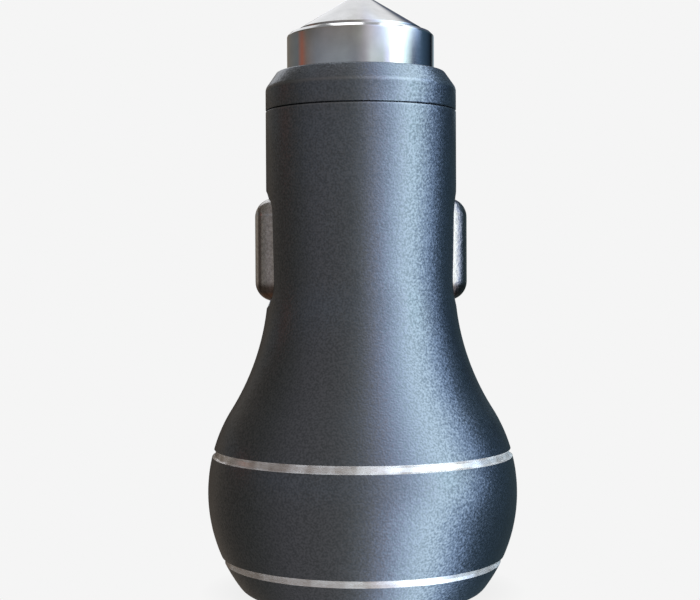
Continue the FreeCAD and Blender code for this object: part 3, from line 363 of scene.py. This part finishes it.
def make_contact(name, side):
    """A pressed contact: its outline carried across its width and drawn in by a dome with eased edges.

    At angle a of a dome of radius r, the outline lies r * sin a off the middle and is drawn in by
    r * (1 - cos a). The dome runs into each edge's round of radius e, whose middle lies e inside both the
    dome and the side. The side faces are one flat polygon each, and a plain rim lies under the pad.
    """
    inside, off = PAD_DOME - PAD_EDGE, PAD_HALF - PAD_EDGE
    touch = asin(off / inside)
    dome = np.linspace(0, touch, DOME_STEPS + 1)
    edge = np.linspace(touch, pi / 2, EDGE_STEPS + 1)[1:]
    places = np.concatenate([PAD_DOME * np.sin(dome), off + PAD_EDGE * np.sin(edge)])
    centre = PAD_DOME - sqrt(inside**2 - off**2)
    insets = np.concatenate([PAD_DOME * (1 - np.cos(dome)), centre - PAD_EDGE * np.cos(edge)])
    insets = np.concatenate([insets[:0:-1], insets])
    places = np.concatenate([-places[:0:-1], places])
    lines = [pad_profile(inset) for inset in insets]
    rows = [
        np.stack([line[:, 0], 0 * line[:, 0] + place, line[:, 1]], 1) for line, place in zip(lines, places)
    ]
    count, wide = len(rows), len(rows[0])
    row, column = wide * np.arange(count - 1)[:, None], np.arange(wide)[None]
    beside = (column + 1) % wide
    quads = np.stack([row + beside, row + column, row + wide + column, row + wide + beside], 2)
    faces = quads.reshape(-1, 4).tolist()
    faces += [np.arange(wide).tolist(), ((count - 1) * wide + np.arange(wide)).tolist()[::-1]]
    half = np.array([RIM_WIDTH, RIM_LENGTH]) / 2 - RIM_CORNER
    rim = np.concatenate([
        arc((a * half[0], SLOT_UP + b * half[1]), RIM_CORNER, turn, turn + 90, RIM_STEPS)
        for a, b, turn in ((1, -1, -90), (1, 1, 0), (-1, 1, 90), (-1, -1, 180))
    ])
    first, edge = count * wide, len(rim)
    layers = [np.stack([0 * rim[:, 0] + reach, rim[:, 0], rim[:, 1]], 1) for reach in (RIM_FOOT, RIM_REACH)]
    step = np.arange(edge)
    after = (step + 1) % edge
    faces += (first + np.stack([step, after, edge + after, edge + step], 1)).tolist()
    faces += [(first + step).tolist()[::-1], (first + edge + step).tolist()]
    # The left contact is the right one turned half round
    return piece_from(name, np.concatenate(rows + layers) * (side, side, 1), faces)


# In a copy of a CAD node, points nearer than this in millimetres are merged, faces that turn by less than
# this are made one, and edges that turn by more than this get a bevel
NEAR, FLAT_TURN, BEVEL_TURN = 0.001, radians(0.5), radians(40)


def merged_copy(node, bevel=0.0):
    """A copy of a CAD node's mesh, merged into whole faces, its edges broken by a bevel in millimetres."""
    mesh = nodes[node].data.copy()
    mesh.name = node + "_finished"
    work = bmesh.new()
    work.from_mesh(mesh)
    bmesh.ops.remove_doubles(work, verts=work.verts, dist=NEAR * MM)
    bmesh.ops.dissolve_limit(work, angle_limit=FLAT_TURN, verts=work.verts, edges=work.edges)
    work.to_mesh(mesh)
    work.free()
    mesh.materials.clear()
    piece = smooth_piece(node + "_finished", mesh)
    if bevel:
        edge = piece.modifiers.new("edges", "BEVEL")
        edge.width = bevel * MM
        edge.segments = 2
        edge.limit_method = "ANGLE"
        edge.angle_limit = BEVEL_TURN
    return piece


# Finishes


def linear(colour):
    """A colour for a shader from an sRGB hex value: each part c becomes ((c + 0.055) / 1.055) ** 2.4."""
    parts = [int(colour[place : place + 2], 16) / 255 for place in (1, 3, 5)]
    return tuple(c / 12.92 if c <= 0.04045 else ((c + 0.055) / 1.055) ** 2.4 for c in parts) + (1.0,)


def add(tree, kind, inputs=None, stops=(), **settings):
    """Add one node with its settings and, for a ramp, its stops of (place, colour).

    Each input is a value, or a socket to link.
    """
    made = tree.nodes.new(kind)
    for name, setting in settings.items():
        setattr(made, name, setting)
    for name, given in (inputs or {}).items():
        if isinstance(given, bpy.types.NodeSocket):
            tree.links.new(given, made.inputs[name])
        else:
            made.inputs[name].default_value = given
    for number, (place, colour) in enumerate(stops):
        ramp = made.color_ramp.elements
        stop = ramp[number] if number < 2 else ramp.new(place)
        stop.position, stop.color = place, colour
    return made


def new_finish(name, **sockets):
    """An empty finish: its material, tree, Principled shader and the piece's own coordinates."""
    material = bpy.data.materials.new(name)
    material.use_nodes = True
    tree = material.node_tree
    tree.nodes.clear()
    shader = add(tree, "ShaderNodeBsdfPrincipled", sockets)
    add(tree, "ShaderNodeOutputMaterial", {"Surface": shader.outputs["BSDF"]})
    place = add(tree, "ShaderNodeTexCoord").outputs["Object"]
    return material, tree, shader, place


# A finish changes from one look to the other between these values of its noise, where most of it lies
FAINT, STRONG = 0.3, 0.7
# Marks of turning follow the height alone, and marks of rolling or drawing are long in Z
TURNED_MARKS, DRAWN_MARKS = (0.0, 0.0, 1.0), (1.0, 1.0, 0.08)


def vary(tree, shader, place, size, colours=None, rough=None, depth=None, detail=2.0, gain=0.5, marks=None):
    """Vary a finish by fine noise with features of a size in millimetres.

    Its colour goes between two hex values and its roughness between two numbers, and its surface rises by a
    depth in millimetres. Marks scale the noise's coordinates: under 1, they draw it out.
    """
    if marks:
        place = add(tree, "ShaderNodeMapping", {"Vector": place, "Scale": marks}).outputs["Vector"]
    noise = add(tree, "ShaderNodeTexNoise", {
        "Vector": place, "Scale": 1 / (size * MM), "Detail": detail, "Roughness": gain,
    }).outputs["Fac"]
    if colours:
        low, high = colours
        stops = ((FAINT, linear(low)), (STRONG, linear(high)))
        shade = add(tree, "ShaderNodeValToRGB", {"Fac": noise}, stops)
        tree.links.new(shade.outputs["Color"], shader.inputs["Base Color"])
    if rough:
        low, high = rough
        gloss = add(tree, "ShaderNodeMapRange", {
            "Value": noise, "From Min": FAINT, "From Max": STRONG, "To Min": low, "To Max": high,
        })
        tree.links.new(gloss.outputs["Result"], shader.inputs["Roughness"])
    if depth:
        bump = add(tree, "ShaderNodeBump", {"Height": noise, "Distance": depth * MM, "Strength": 1.0})
        tree.links.new(bump.outputs["Normal"], shader.inputs["Normal"])


def lay_over(tree, shader, share, colour, how="MIX"):
    """Lay a colour over a finish's own colour, by a share of 0 to 1."""
    own = shader.inputs["Base Color"].links[0].from_socket
    both = add(tree, "ShaderNodeMix", {"Factor": share, 6: own, 7: colour}, data_type="RGBA", blend_type=how)
    tree.links.new(both.outputs[2], shader.inputs["Base Color"])


# The blast's dimples, in millimetres: about 0.05 on the real one, drawn wider so that they show. The noise
# for their facets is shifted from that for their colour, and the tilt is how far it leans the surface
DIMPLE, DIMPLE_SHIFT, DIMPLE_TILT = 0.2, 0.04, 0.21
# How much paler the colour is made along an edge, and the colour laid over it there
EDGE_PALING, EDGE_PALE_COLOUR = 0.45, "#a2a8b0"


def anodised_aluminium(name, edge, reach):
    """Bead-blasted aluminium, dyed blue-grey and sealed: its dimples break a light's image into sparkle.

    Its colour is made paler along one edge, at a height and within a reach in millimetres. Smooth
    noise (r, g, b) makes the facets: the normal has 0.5 less that, times the tilt, added to it.
    """
    material, tree, shader, place = new_finish(name, Metallic=1.0)
    vary(tree, shader, place, DIMPLE, colours=("#656c74", "#7d848e"), detail=0.0)
    vary(tree, shader, place, 4.0, rough=(0.285, 0.305))
    up = add(tree, "ShaderNodeSeparateXYZ", {"Vector": place}).outputs["Z"]
    off = add(tree, "ShaderNodeMath", {0: up, 1: edge * MM}, operation="SUBTRACT").outputs[0]
    off = add(tree, "ShaderNodeMath", {0: off}, operation="ABSOLUTE").outputs[0]
    paler_edge = add(tree, "ShaderNodeMapRange", {
        "Value": off, "From Min": 0.0, "From Max": reach * MM, "To Min": EDGE_PALING, "To Max": 0.0,
    }, interpolation_type="SMOOTHSTEP").outputs["Result"]
    lay_over(tree, shader, paler_edge, linear(EDGE_PALE_COLOUR))
    beside = add(tree, "ShaderNodeMapping", {"Vector": place, "Location": (DIMPLE_SHIFT * MM,) * 3})
    noise = add(tree, "ShaderNodeTexNoise", {
        "Vector": beside.outputs["Vector"], "Scale": 1 / (DIMPLE * MM), "Detail": 0.0,
    })
    normal = add(tree, "ShaderNodeNewGeometry").outputs["Normal"]
    lean = add(tree, "ShaderNodeVectorMath", {
        0: (0.5, 0.5, 0.5), 1: noise.outputs["Color"],
    }, operation="SUBTRACT").outputs[0]
    tilted = add(tree, "ShaderNodeVectorMath", {
        0: lean, 1: (DIMPLE_TILT,) * 3, 2: normal,
    }, operation="MULTIPLY_ADD").outputs[0]
    facets = add(tree, "ShaderNodeVectorMath", {0: tilted}, operation="NORMALIZE").outputs[0]
    tree.links.new(facets, shader.inputs["Normal"])
    return material


def cut_aluminium():
    """Bare aluminium where a diamond tool has cut through the dyed skin: bright and smudged.

    The tool's fine lines throw light far up and down, which a share of plain scatter stands for.
    """
    material, tree, shader, place = new_finish("bare_aluminium_diamond_cut", Metallic=0.52)
    vary(tree, shader, place, 1.8, colours=("#c4bcb6", "#ffffff"), rough=(0.16, 0.28))
    vary(tree, shader, place, 0.06, depth=0.0012, detail=1.0, marks=TURNED_MARKS)
    return material


def turned_steel():
    """Stainless steel, turned and polished: mirror-like, with faint rings from the lathe tool."""
    material, tree, shader, place = new_finish("stainless_steel_polished", Metallic=1.0)
    vary(tree, shader, place, 1.5, colours=("#c4c5c6", "#cfd0d1"))
    vary(tree, shader, place, 0.09, rough=(0.10, 0.14), depth=0.0004, marks=TURNED_MARKS)
    return material


# Where the plate's colour goes from plain to the crest, by distance from the middle in millimetres: the crest
# is worn by a socket and carries a painted sheen, and the band beside it is tarnished and painted with shade
WEAR_AND_SHEEN_FROM, WEAR_AND_SHEEN_TO = 10.6, 11.5
# Painted shade and a painted reflection of the neck at the plate's lower end, by height: brown where it meets
# the barrel, then dark, then plain
NECK_SHADE_FROM, NECK_SHADE_TO = 31.5, 34.0
NECK_SHADE = ((0.0, "#b98c72"), (0.28, "#a88068"), (0.4, "#85776e"), (0.6, "#978b84"), (0.85, "#ffffff"))


def bright_nickel(name, metallic, plain, tarnish_and_shade, crest, dent):
    """Bright nickel plate on a pressed shoe: uneven, darker beside the crest by tarnished plate and painted
    shade, and paler on the crest, worn by a socket and given a painted sheen.
    """
    material, tree, shader, place = new_finish(name, Metallic=metallic)
    vary(tree, shader, place, 0.32, colours=("#c8c8c8", "#ffffff"), rough=(0.12, 0.24), depth=dent, gain=0.6)
    parts = add(tree, "ShaderNodeSeparateXYZ", {"Vector": place}).outputs
    out = add(tree, "ShaderNodeMath", {0: parts["X"]}, operation="ABSOLUTE").outputs[0]
    # Plain inside, then a band darkened by tarnished plate and painted shade, then the crest: worn, with a
    # painted sheen
    wear_and_sheen = ((0.0, plain), (0.25, plain), (0.38, tarnish_and_shade), (0.6, tarnish_and_shade), (0.72, crest))
    # By height, the plate is darkened by painted shade and a painted reflection of the neck at its lower end
    for amount, low, high, table in (
        (out, WEAR_AND_SHEEN_FROM, WEAR_AND_SHEEN_TO, wear_and_sheen),
        (parts["Z"], NECK_SHADE_FROM, NECK_SHADE_TO, NECK_SHADE),
    ):
        share = add(tree, "ShaderNodeMapRange", {
            "Value": amount, "From Min": low * MM, "From Max": high * MM,
        })
        stops = [(along, linear(colour)) for along, colour in table]
        tint = add(tree, "ShaderNodeValToRGB", {"Fac": share.outputs["Result"]}, stops)
        lay_over(tree, shader, 1.0, tint.outputs["Color"], "MULTIPLY")
    return material


def moulded_black():
    """Black ABS from a spark-eroded mould: a fine matt grain."""
    material, tree, shader, place = new_finish("moulded_abs_black", IOR=1.54)
    vary(tree, shader, place, 0.15, colours=("#141516", "#1d1e20"), rough=(0.42, 0.58), depth=0.01)
    return material


def gloss_plastic(name, low, high):
    """A smooth moulded plastic: even colour, with the slight ripple of a polished mould."""
    material, tree, shader, place = new_finish(name, IOR=1.5)
    vary(tree, shader, place, 0.8, colours=(low, high), rough=(0.22, 0.32), depth=0.004, detail=1.0)
    return material


def plated_sheet(name, low, high, rough=(0.2, 0.34), size=0.3):
    """Plated or drawn metal sheet: rolling lines along the sheet break its shine."""
    material, tree, shader, place = new_finish(name, Metallic=1.0)
    vary(tree, shader, place, size, (low, high), rough, depth=0.002, detail=3.0, gain=0.6, marks=DRAWN_MARKS)
    return material


def matt_body(name, low, high, size):
    """A matt moulded, pressed or fired body with a grain of a size in millimetres."""
    material, tree, shader, place = new_finish(name, IOR=1.5)
    vary(tree, shader, place, size, (low, high), rough=(0.55, 0.75), depth=0.01, detail=3.0, gain=0.6)
    return material


def dress(piece, *finishes):
    """Give a piece its finishes."""
    piece.data.materials.clear()
    for finish in finishes:
        piece.data.materials.append(finish)


# The shell's colour is made paler along a line under the seam, and the nose cap's at the foot of its bevel
anodised = anodised_aluminium("anodised_aluminium_shell", SEAM - 0.1, 0.2)
anodised_cap = anodised_aluminium("anodised_aluminium_cap", 54.35, 0.3)
bare_cut = cut_aluminium()
steel = turned_steel()
# The two contacts have one plate, painted paler on the left and darker on the right to match how light falls
# on each. A haze on the left one's plate scatters some light, and its dents are shallower
nickel_left = bright_nickel("nickel_plate_left_painted_paler", 0.76, "#d2d0cf", "#958e8c", "#ffffff", 0.02)
nickel_right = bright_nickel("nickel_plate_right_painted_darker", 1.0, "#bab0ac", "#a2978f", "#d0c6c2", 0.04)
black = moulded_black()
white = gloss_plastic("moulded_pbt_white", "#d9d8d2", "#e6e5e0")
tinned = plated_sheet("tinned_steel_sheet", "#a9abad", "#c4c6c8")
gilt = plated_sheet("gilt_bronze_spring", "#c9a24e", "#dcb866", (0.16, 0.26))
spring_steel = plated_sheet("drawn_spring_steel", "#8f9194", "#a9abad", (0.25, 0.4), 0.15)
brass = plated_sheet("turned_brass", "#c2a35c", "#d3b56c", (0.2, 0.32))
solder_mask = gloss_plastic("glass_laminate_green", "#0d3a24", "#12462c")
ferrite = matt_body("pressed_ferrite_powder", "#2a2a2c", "#3a3a3c", 0.12)
can = plated_sheet("drawn_aluminium_can", "#c2c4c6", "#d8dadc", (0.24, 0.36), 0.2)
mould = matt_body("moulded_epoxy_black", "#121212", "#1c1c1c", 0.08)
fuse_green = matt_body("polymer_fuse_green", "#1d4a2a", "#285a35", 0.2)
glaze = gloss_plastic("glazed_ceramic_black", "#101114", "#191b20")
ceramic = matt_body("fired_ceramic_tan", "#8a6d4c", "#a2835e", 0.15)


# Pieces


def stand_in(made, node, body, finish=None):
    """Let a finished piece take a node's place. The shell comes dressed already."""
    if finish is not None:
        dress(made, finish)
    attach(made, body)
    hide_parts(node)


# Turned and pressed pieces
stand_in(make_shell(), "shell", "housing")
made = turned("nose_cap_turned", eased(CAP, CAP_STEPS))
stand_in(made, "nose_cap", "housing", anodised_cap)
made = turned("tip_bush", eased(BUSH, BUSH_STEPS))
stand_in(made, "tip_insulator", "housing", black)
made = turned_solid("hammer_tip_turned", eased(TIP, TIP_STEPS))
stand_in(made, "hammer_tip", "tip", steel)
for place, side, finish in (("left", -1, nickel_left), ("right", 1, nickel_right)):
    made = make_contact("contact_pressed_" + place, side)
    stand_in(made, "ground_contact_" + place, place + "_contact", finish)

# Copies of the CAD's pieces in the mouth, with their edges broken in millimetres
for node, slot, finish, bevel in (
    ("face_plate", "black_plastic", black, 0.15),
    ("usb_shell_front", "socket_steel", tinned, 0.05),
    ("usb_shell_back", "socket_steel", tinned, 0.05),
    ("usb_tongue_front", "white_plastic", white, 0.1),
    ("usb_tongue_back", "white_plastic", white, 0.1),
    ("usb_contacts_front", "gilt_contact", gilt, 0.0),
    ("usb_contacts_back", "gilt_contact", gilt, 0.0),
):
    stand_in(merged_copy(node, bevel), node, "housing", finish)

# The springs, as smooth copies with meshes of their own. Each row gives the joint, the axis along x or z, the
# fixed end and the travel of what it pushes in millimetres, which nothing here uses
for node, joint, along, fixed, travel in (
    ("tip_spring", "tip_press", 2, 47.4, 3.0),
    ("contact_spring_left", "left_contact_press", 0, -5.4, 1.2),
    ("contact_spring_right", "right_contact_press", 0, 5.4, 1.2),
):
    made = merged_copy(node)
    stand_in(made, node, "housing", spring_steel)
    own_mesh(made)

# Pieces inside keep the frame's shape
for names, finish in (
    (("inner_frame_front", "inner_frame_back"), black),
    (("positive_terminal",), brass),
    (("circuit_board",), solder_mask),
    (("power_inductor",), ferrite),
    (("input_capacitor", "output_capacitor"), can),
    (("converter_chip", "controller_chip", "rectifier_diode"), mould),
    (("resettable_fuse",), fuse_green),
    (("chip_resistors",), glaze),
    (("chip_capacitors",), ceramic),
):
    for name in names:
        dress(nodes[name], finish)


# Floor and light

PAPER = "#f5f5f5"
# Half the floor's width, and how near the part casts painted shade on it and by how much, in millimetres and
# as a share
FLOOR_HALF, SHADE_REACH, SHADE = 3000, 4, 0.9


def make_floor():
    """A pale floor that fades into the backdrop, with a painted contact shadow where the foot stands on it.
    """
    corners = np.array([(-1, -1, 0), (1, -1, 0), (1, 1, 0), (-1, 1, 0)]) * FLOOR_HALF
    floor = piece_from("floor", corners, [(0, 1, 2, 3)])
    material = bpy.data.materials.new("pale_paper")
    material.use_nodes = True
    tree = material.node_tree
    tree.nodes.clear()
    open_sky = add(tree, "ShaderNodeAmbientOcclusion", {"Distance": SHADE_REACH * MM}, samples=16)
    strength = add(tree, "ShaderNodeMapRange", {
        "Value": open_sky.outputs["AO"], "From Min": 0.0, "From Max": 1.0, "To Min": SHADE, "To Max": 1.0,
    })
    glow = add(tree, "ShaderNodeEmission", {"Color": linear(PAPER), "Strength": strength.outputs["Result"]})
    clear = add(tree, "ShaderNodeBsdfTransparent")
    below = add(tree, "ShaderNodeNewGeometry").outputs["Backfacing"]
    both = add(tree, "ShaderNodeMixShader", {0: below, 1: glow.outputs[0], 2: clear.outputs[0]})
    add(tree, "ShaderNodeOutputMaterial", {"Surface": both.outputs[0]})
    floor.data.materials.append(material)
    floor.visible_glossy = False
    floor.visible_diffuse = False
    floor.visible_shadow = False


# Brightness and colour of the studio by arch: degrees from the front towards +X. This table and the next were
# fitted by a program to colours seen across the metal in the photograph
STUDIO = (
    (-180, (0.00, 0.00, 0.00)), (-145, (0.18, 0.15, 0.12)), (-113, (0.13, 0.11, 0.09)),
    (-90, (0.14, 0.13, 0.11)), (-60, (0.26, 0.23, 0.22)), (-20, (0.29, 0.26, 0.23)),
    (-4, (0.41, 0.40, 0.35)), (10, (0.81, 0.76, 0.84)), (22, (1.13, 1.22, 1.59)),
    (34, (1.73, 2.06, 2.42)), (46, (2.57, 2.98, 3.20)), (58, (2.70, 3.15, 3.20)),
    (72, (1.79, 2.17, 2.53)), (86, (0.75, 1.03, 1.56)), (100, (0.05, 0.10, 0.15)),
    (180, (0.05, 0.06, 0.04)),
)
# The same in a narrow band just above the horizon, which the collar mirrors
BAND = (
    (-180, (0.21, 0.16, 0.11)), (-118, (0.17, 0.19, 0.20)), (-107, (0.41, 0.13, 0.08)),
    (-96, (0.25, 0.20, 0.18)), (-76, (0.26, 0.28, 0.32)), (-28, (0.38, 0.43, 0.48)),
    (-12, (0.26, 0.29, 0.35)), (2, (0.47, 0.46, 0.52)), (12, (0.87, 0.97, 0.98)),
    (30, (0.60, 0.69, 0.60)), (40, (1.09, 1.08, 1.56)), (48, (3.20, 3.20, 3.20)),
    (60, (1.99, 3.20, 3.20)), (68, (1.09, 1.44, 1.51)), (84, (0.01, 0.02, 0.07)),
    (98, (0.07, 0.13, 0.22)), (140, (0.00, 0.00, 0.00)), (180, (0.83, 1.04, 1.18)),
)
# The same overhead at the back, which the collar's shoulder mirrors, by 180 times x
ABOVE = (
    (-180, (0.30, 0.30, 0.31)), (-49, (0.34, 0.34, 0.34)), (-45, (2.60, 2.60, 2.60)),
    (6, (2.60, 2.60, 2.60)), (9, (0.50, 0.50, 0.52)), (38, (0.56, 0.57, 0.60)),
    (42, (1.90, 1.95, 2.00)), (68, (1.90, 1.95, 2.00)), (74, (0.30, 0.36, 0.44)),
    (180, (0.15, 0.18, 0.24)),
)
# The ceiling behind the part and its dark side towards +X, which the nose cap and the cone mirror
CEILING, DUSK = (1.088, 1.088, 1.104), (0.096, 0.112, 0.16)
# The brightest light there is: the world's strength, of which every colour above is a share
PEAK = 3.2
# How far the panels are turned, in degrees: nearer to the front below eye level, and away from it just above
# and high up at the back
TURN_BELOW, TURN_LEVEL, TURN_HIGH = 18, -8, -14


def light_studio():
    """Soft studio light from all round, as a world: a tall soft box to the front right among dimmer panels.

    They arch over the part from the back: a direction (x, y, z) lies on the arch at twice atan2(x, 1 - y),
    which is its compass angle at eye level. On the right the panels are turned by the sine of their arch, in
    three regions of directions. A narrow band just above eye level has its own panels, which aren't turned. A
    ceiling with a dark side hangs behind, and lamps above it. The camera sees plain paper instead.
    """
    world = bpy.data.worlds.new("studio")
    bpy.context.scene.world = world
    world.use_nodes = True
    tree = world.node_tree
    tree.nodes.clear()
    way = add(tree, "ShaderNodeTexCoord").outputs["Generated"]
    x, y, z = add(tree, "ShaderNodeSeparateXYZ", {"Vector": way}).outputs

    def share(light):
        return tuple(part / PEAK for part in light) + (1.0,)

    def panels(place, table):
        """The panels of a table, by a place from 0 to 1 along it."""
        stops = [((turn + 180) / 360, share(light)) for turn, light in table]
        return add(tree, "ShaderNodeValToRGB", {"Fac": place}, stops).outputs["Color"]

    def region(most, *edges):
        """A region of directions: most inside and 0 outside, with soft edges of (amount, outside, inside)."""
        for amount, outside, inside in edges:
            most = add(tree, "ShaderNodeMapRange", {
                "Value": amount, "From Min": outside, "From Max": inside, "To Max": most,
            }, interpolation_type="SMOOTHSTEP").outputs["Result"]
        return most

    ahead = add(tree, "ShaderNodeMath", {0: 1.0, 1: y}, operation="SUBTRACT").outputs[0]
    half = add(tree, "ShaderNodeMath", {0: x, 1: ahead}, operation="ARCTAN2").outputs[0]
    arch = add(tree, "ShaderNodeMath", {0: half, 1: 2.0}, operation="MULTIPLY").outputs[0]
    sine = add(tree, "ShaderNodeMath", {0: arch}, operation="SINE").outputs[0]
    right = add(tree, "ShaderNodeMath", {0: sine, 1: 0.0}, operation="MAXIMUM").outputs[0]
    aside = add(tree, "ShaderNodeMath", {0: x}, operation="ABSOLUTE").outputs[0]
    # Places along the tables, from 0 to 1
    upright, across = (
        add(tree, "ShaderNodeMath", {0: amount, 1: scale, 2: 0.5}, operation="MULTIPLY_ADD").outputs[0]
        for amount, scale in ((arch, 1 / (2 * pi)), (x, 0.5))
    )
    place = upright
    for turn in (
        region(TURN_BELOW / 360, (z, 0.0, -0.3)),
        region(TURN_LEVEL / 360, (z, 0.0, 0.1), (z, 0.4, 0.2)),
        region(TURN_HIGH / 360, (z, 0.55, 0.7), (y, -0.1, 0.2)),
    ):
        place = add(tree, "ShaderNodeMath", {
            0: turn, 1: right, 2: place,
        }, operation="MULTIPLY_ADD").outputs[0]

    dusk = region(1.0, (arch, radians(78), radians(118)))
    ceiling = add(tree, "ShaderNodeMix", {
        "Factor": dusk, 6: share(CEILING), 7: share(DUSK),
    }, data_type="RGBA")
    band = region(1.0, (z, 0.115, 0.135), (z, 0.21, 0.18))
    behind = region(1.0, (y, 0.5, 0.58), (z, 0.25, 0.35), (aside, 0.48, 0.38))
    above = region(1.0, (z, 0.76, 0.8), (x, 0.48, 0.42), (y, 0.1, 0.15), (y, 0.53, 0.48))
    sky = panels(place, STUDIO)
    for inside, light in (
        (band, panels(upright, BAND)), (behind, ceiling.outputs[2]), (above, panels(across, ABOVE)),
    ):
        sky = add(tree, "ShaderNodeMix", {"Factor": inside, 6: sky, 7: light}, data_type="RGBA").outputs[2]

    lit = add(tree, "ShaderNodeBackground", {"Color": sky, "Strength": PEAK})
    paper = add(tree, "ShaderNodeBackground", {"Color": linear(PAPER)})
    seen = add(tree, "ShaderNodeLightPath").outputs["Is Camera Ray"]
    both = add(tree, "ShaderNodeMixShader", {0: seen, 1: lit.outputs[0], 2: paper.outputs[0]})
    add(tree, "ShaderNodeOutputWorld", {"Surface": both.outputs[0]})
    world.cycles.sampling_method = "MANUAL"
    world.cycles.sample_map_resolution = 1024


# The camera as the photograph was taken: its compass angle from the front, its distance and its height in
# millimetres, then its dip, roll and swing in degrees, and its lens
CAMERA_AT, CAMERA_AWAY, CAMERA_UP = radians(-4.3), 158.0, 34.73
CAMERA_DIP, CAMERA_ROLL, CAMERA_SWING = radians(1.151), radians(0.277), radians(0.452)
LENS, SENSOR = 74.74, 36


def place_camera():
    """The camera, a little to the left and looking slightly down, rolled by a quarter of a degree."""
    lens = bpy.data.cameras.new("camera")
    lens.lens = LENS
    lens.sensor_width = SENSOR
    lens.clip_start = 0.01
    lens.clip_end = 20
    camera = bpy.data.objects.new("camera", lens)
    bpy.context.scene.collection.objects.link(camera)
    bpy.context.scene.camera = camera
    camera.location = (sin(CAMERA_AT) * CAMERA_AWAY * MM, -cos(CAMERA_AT) * CAMERA_AWAY * MM, CAMERA_UP * MM)
    camera.rotation_euler = (pi / 2 - CAMERA_DIP, CAMERA_ROLL, CAMERA_AT + CAMERA_SWING)


make_floor()
light_studio()
place_camera()
bpy.context.scene.view_settings.view_transform = "Standard"
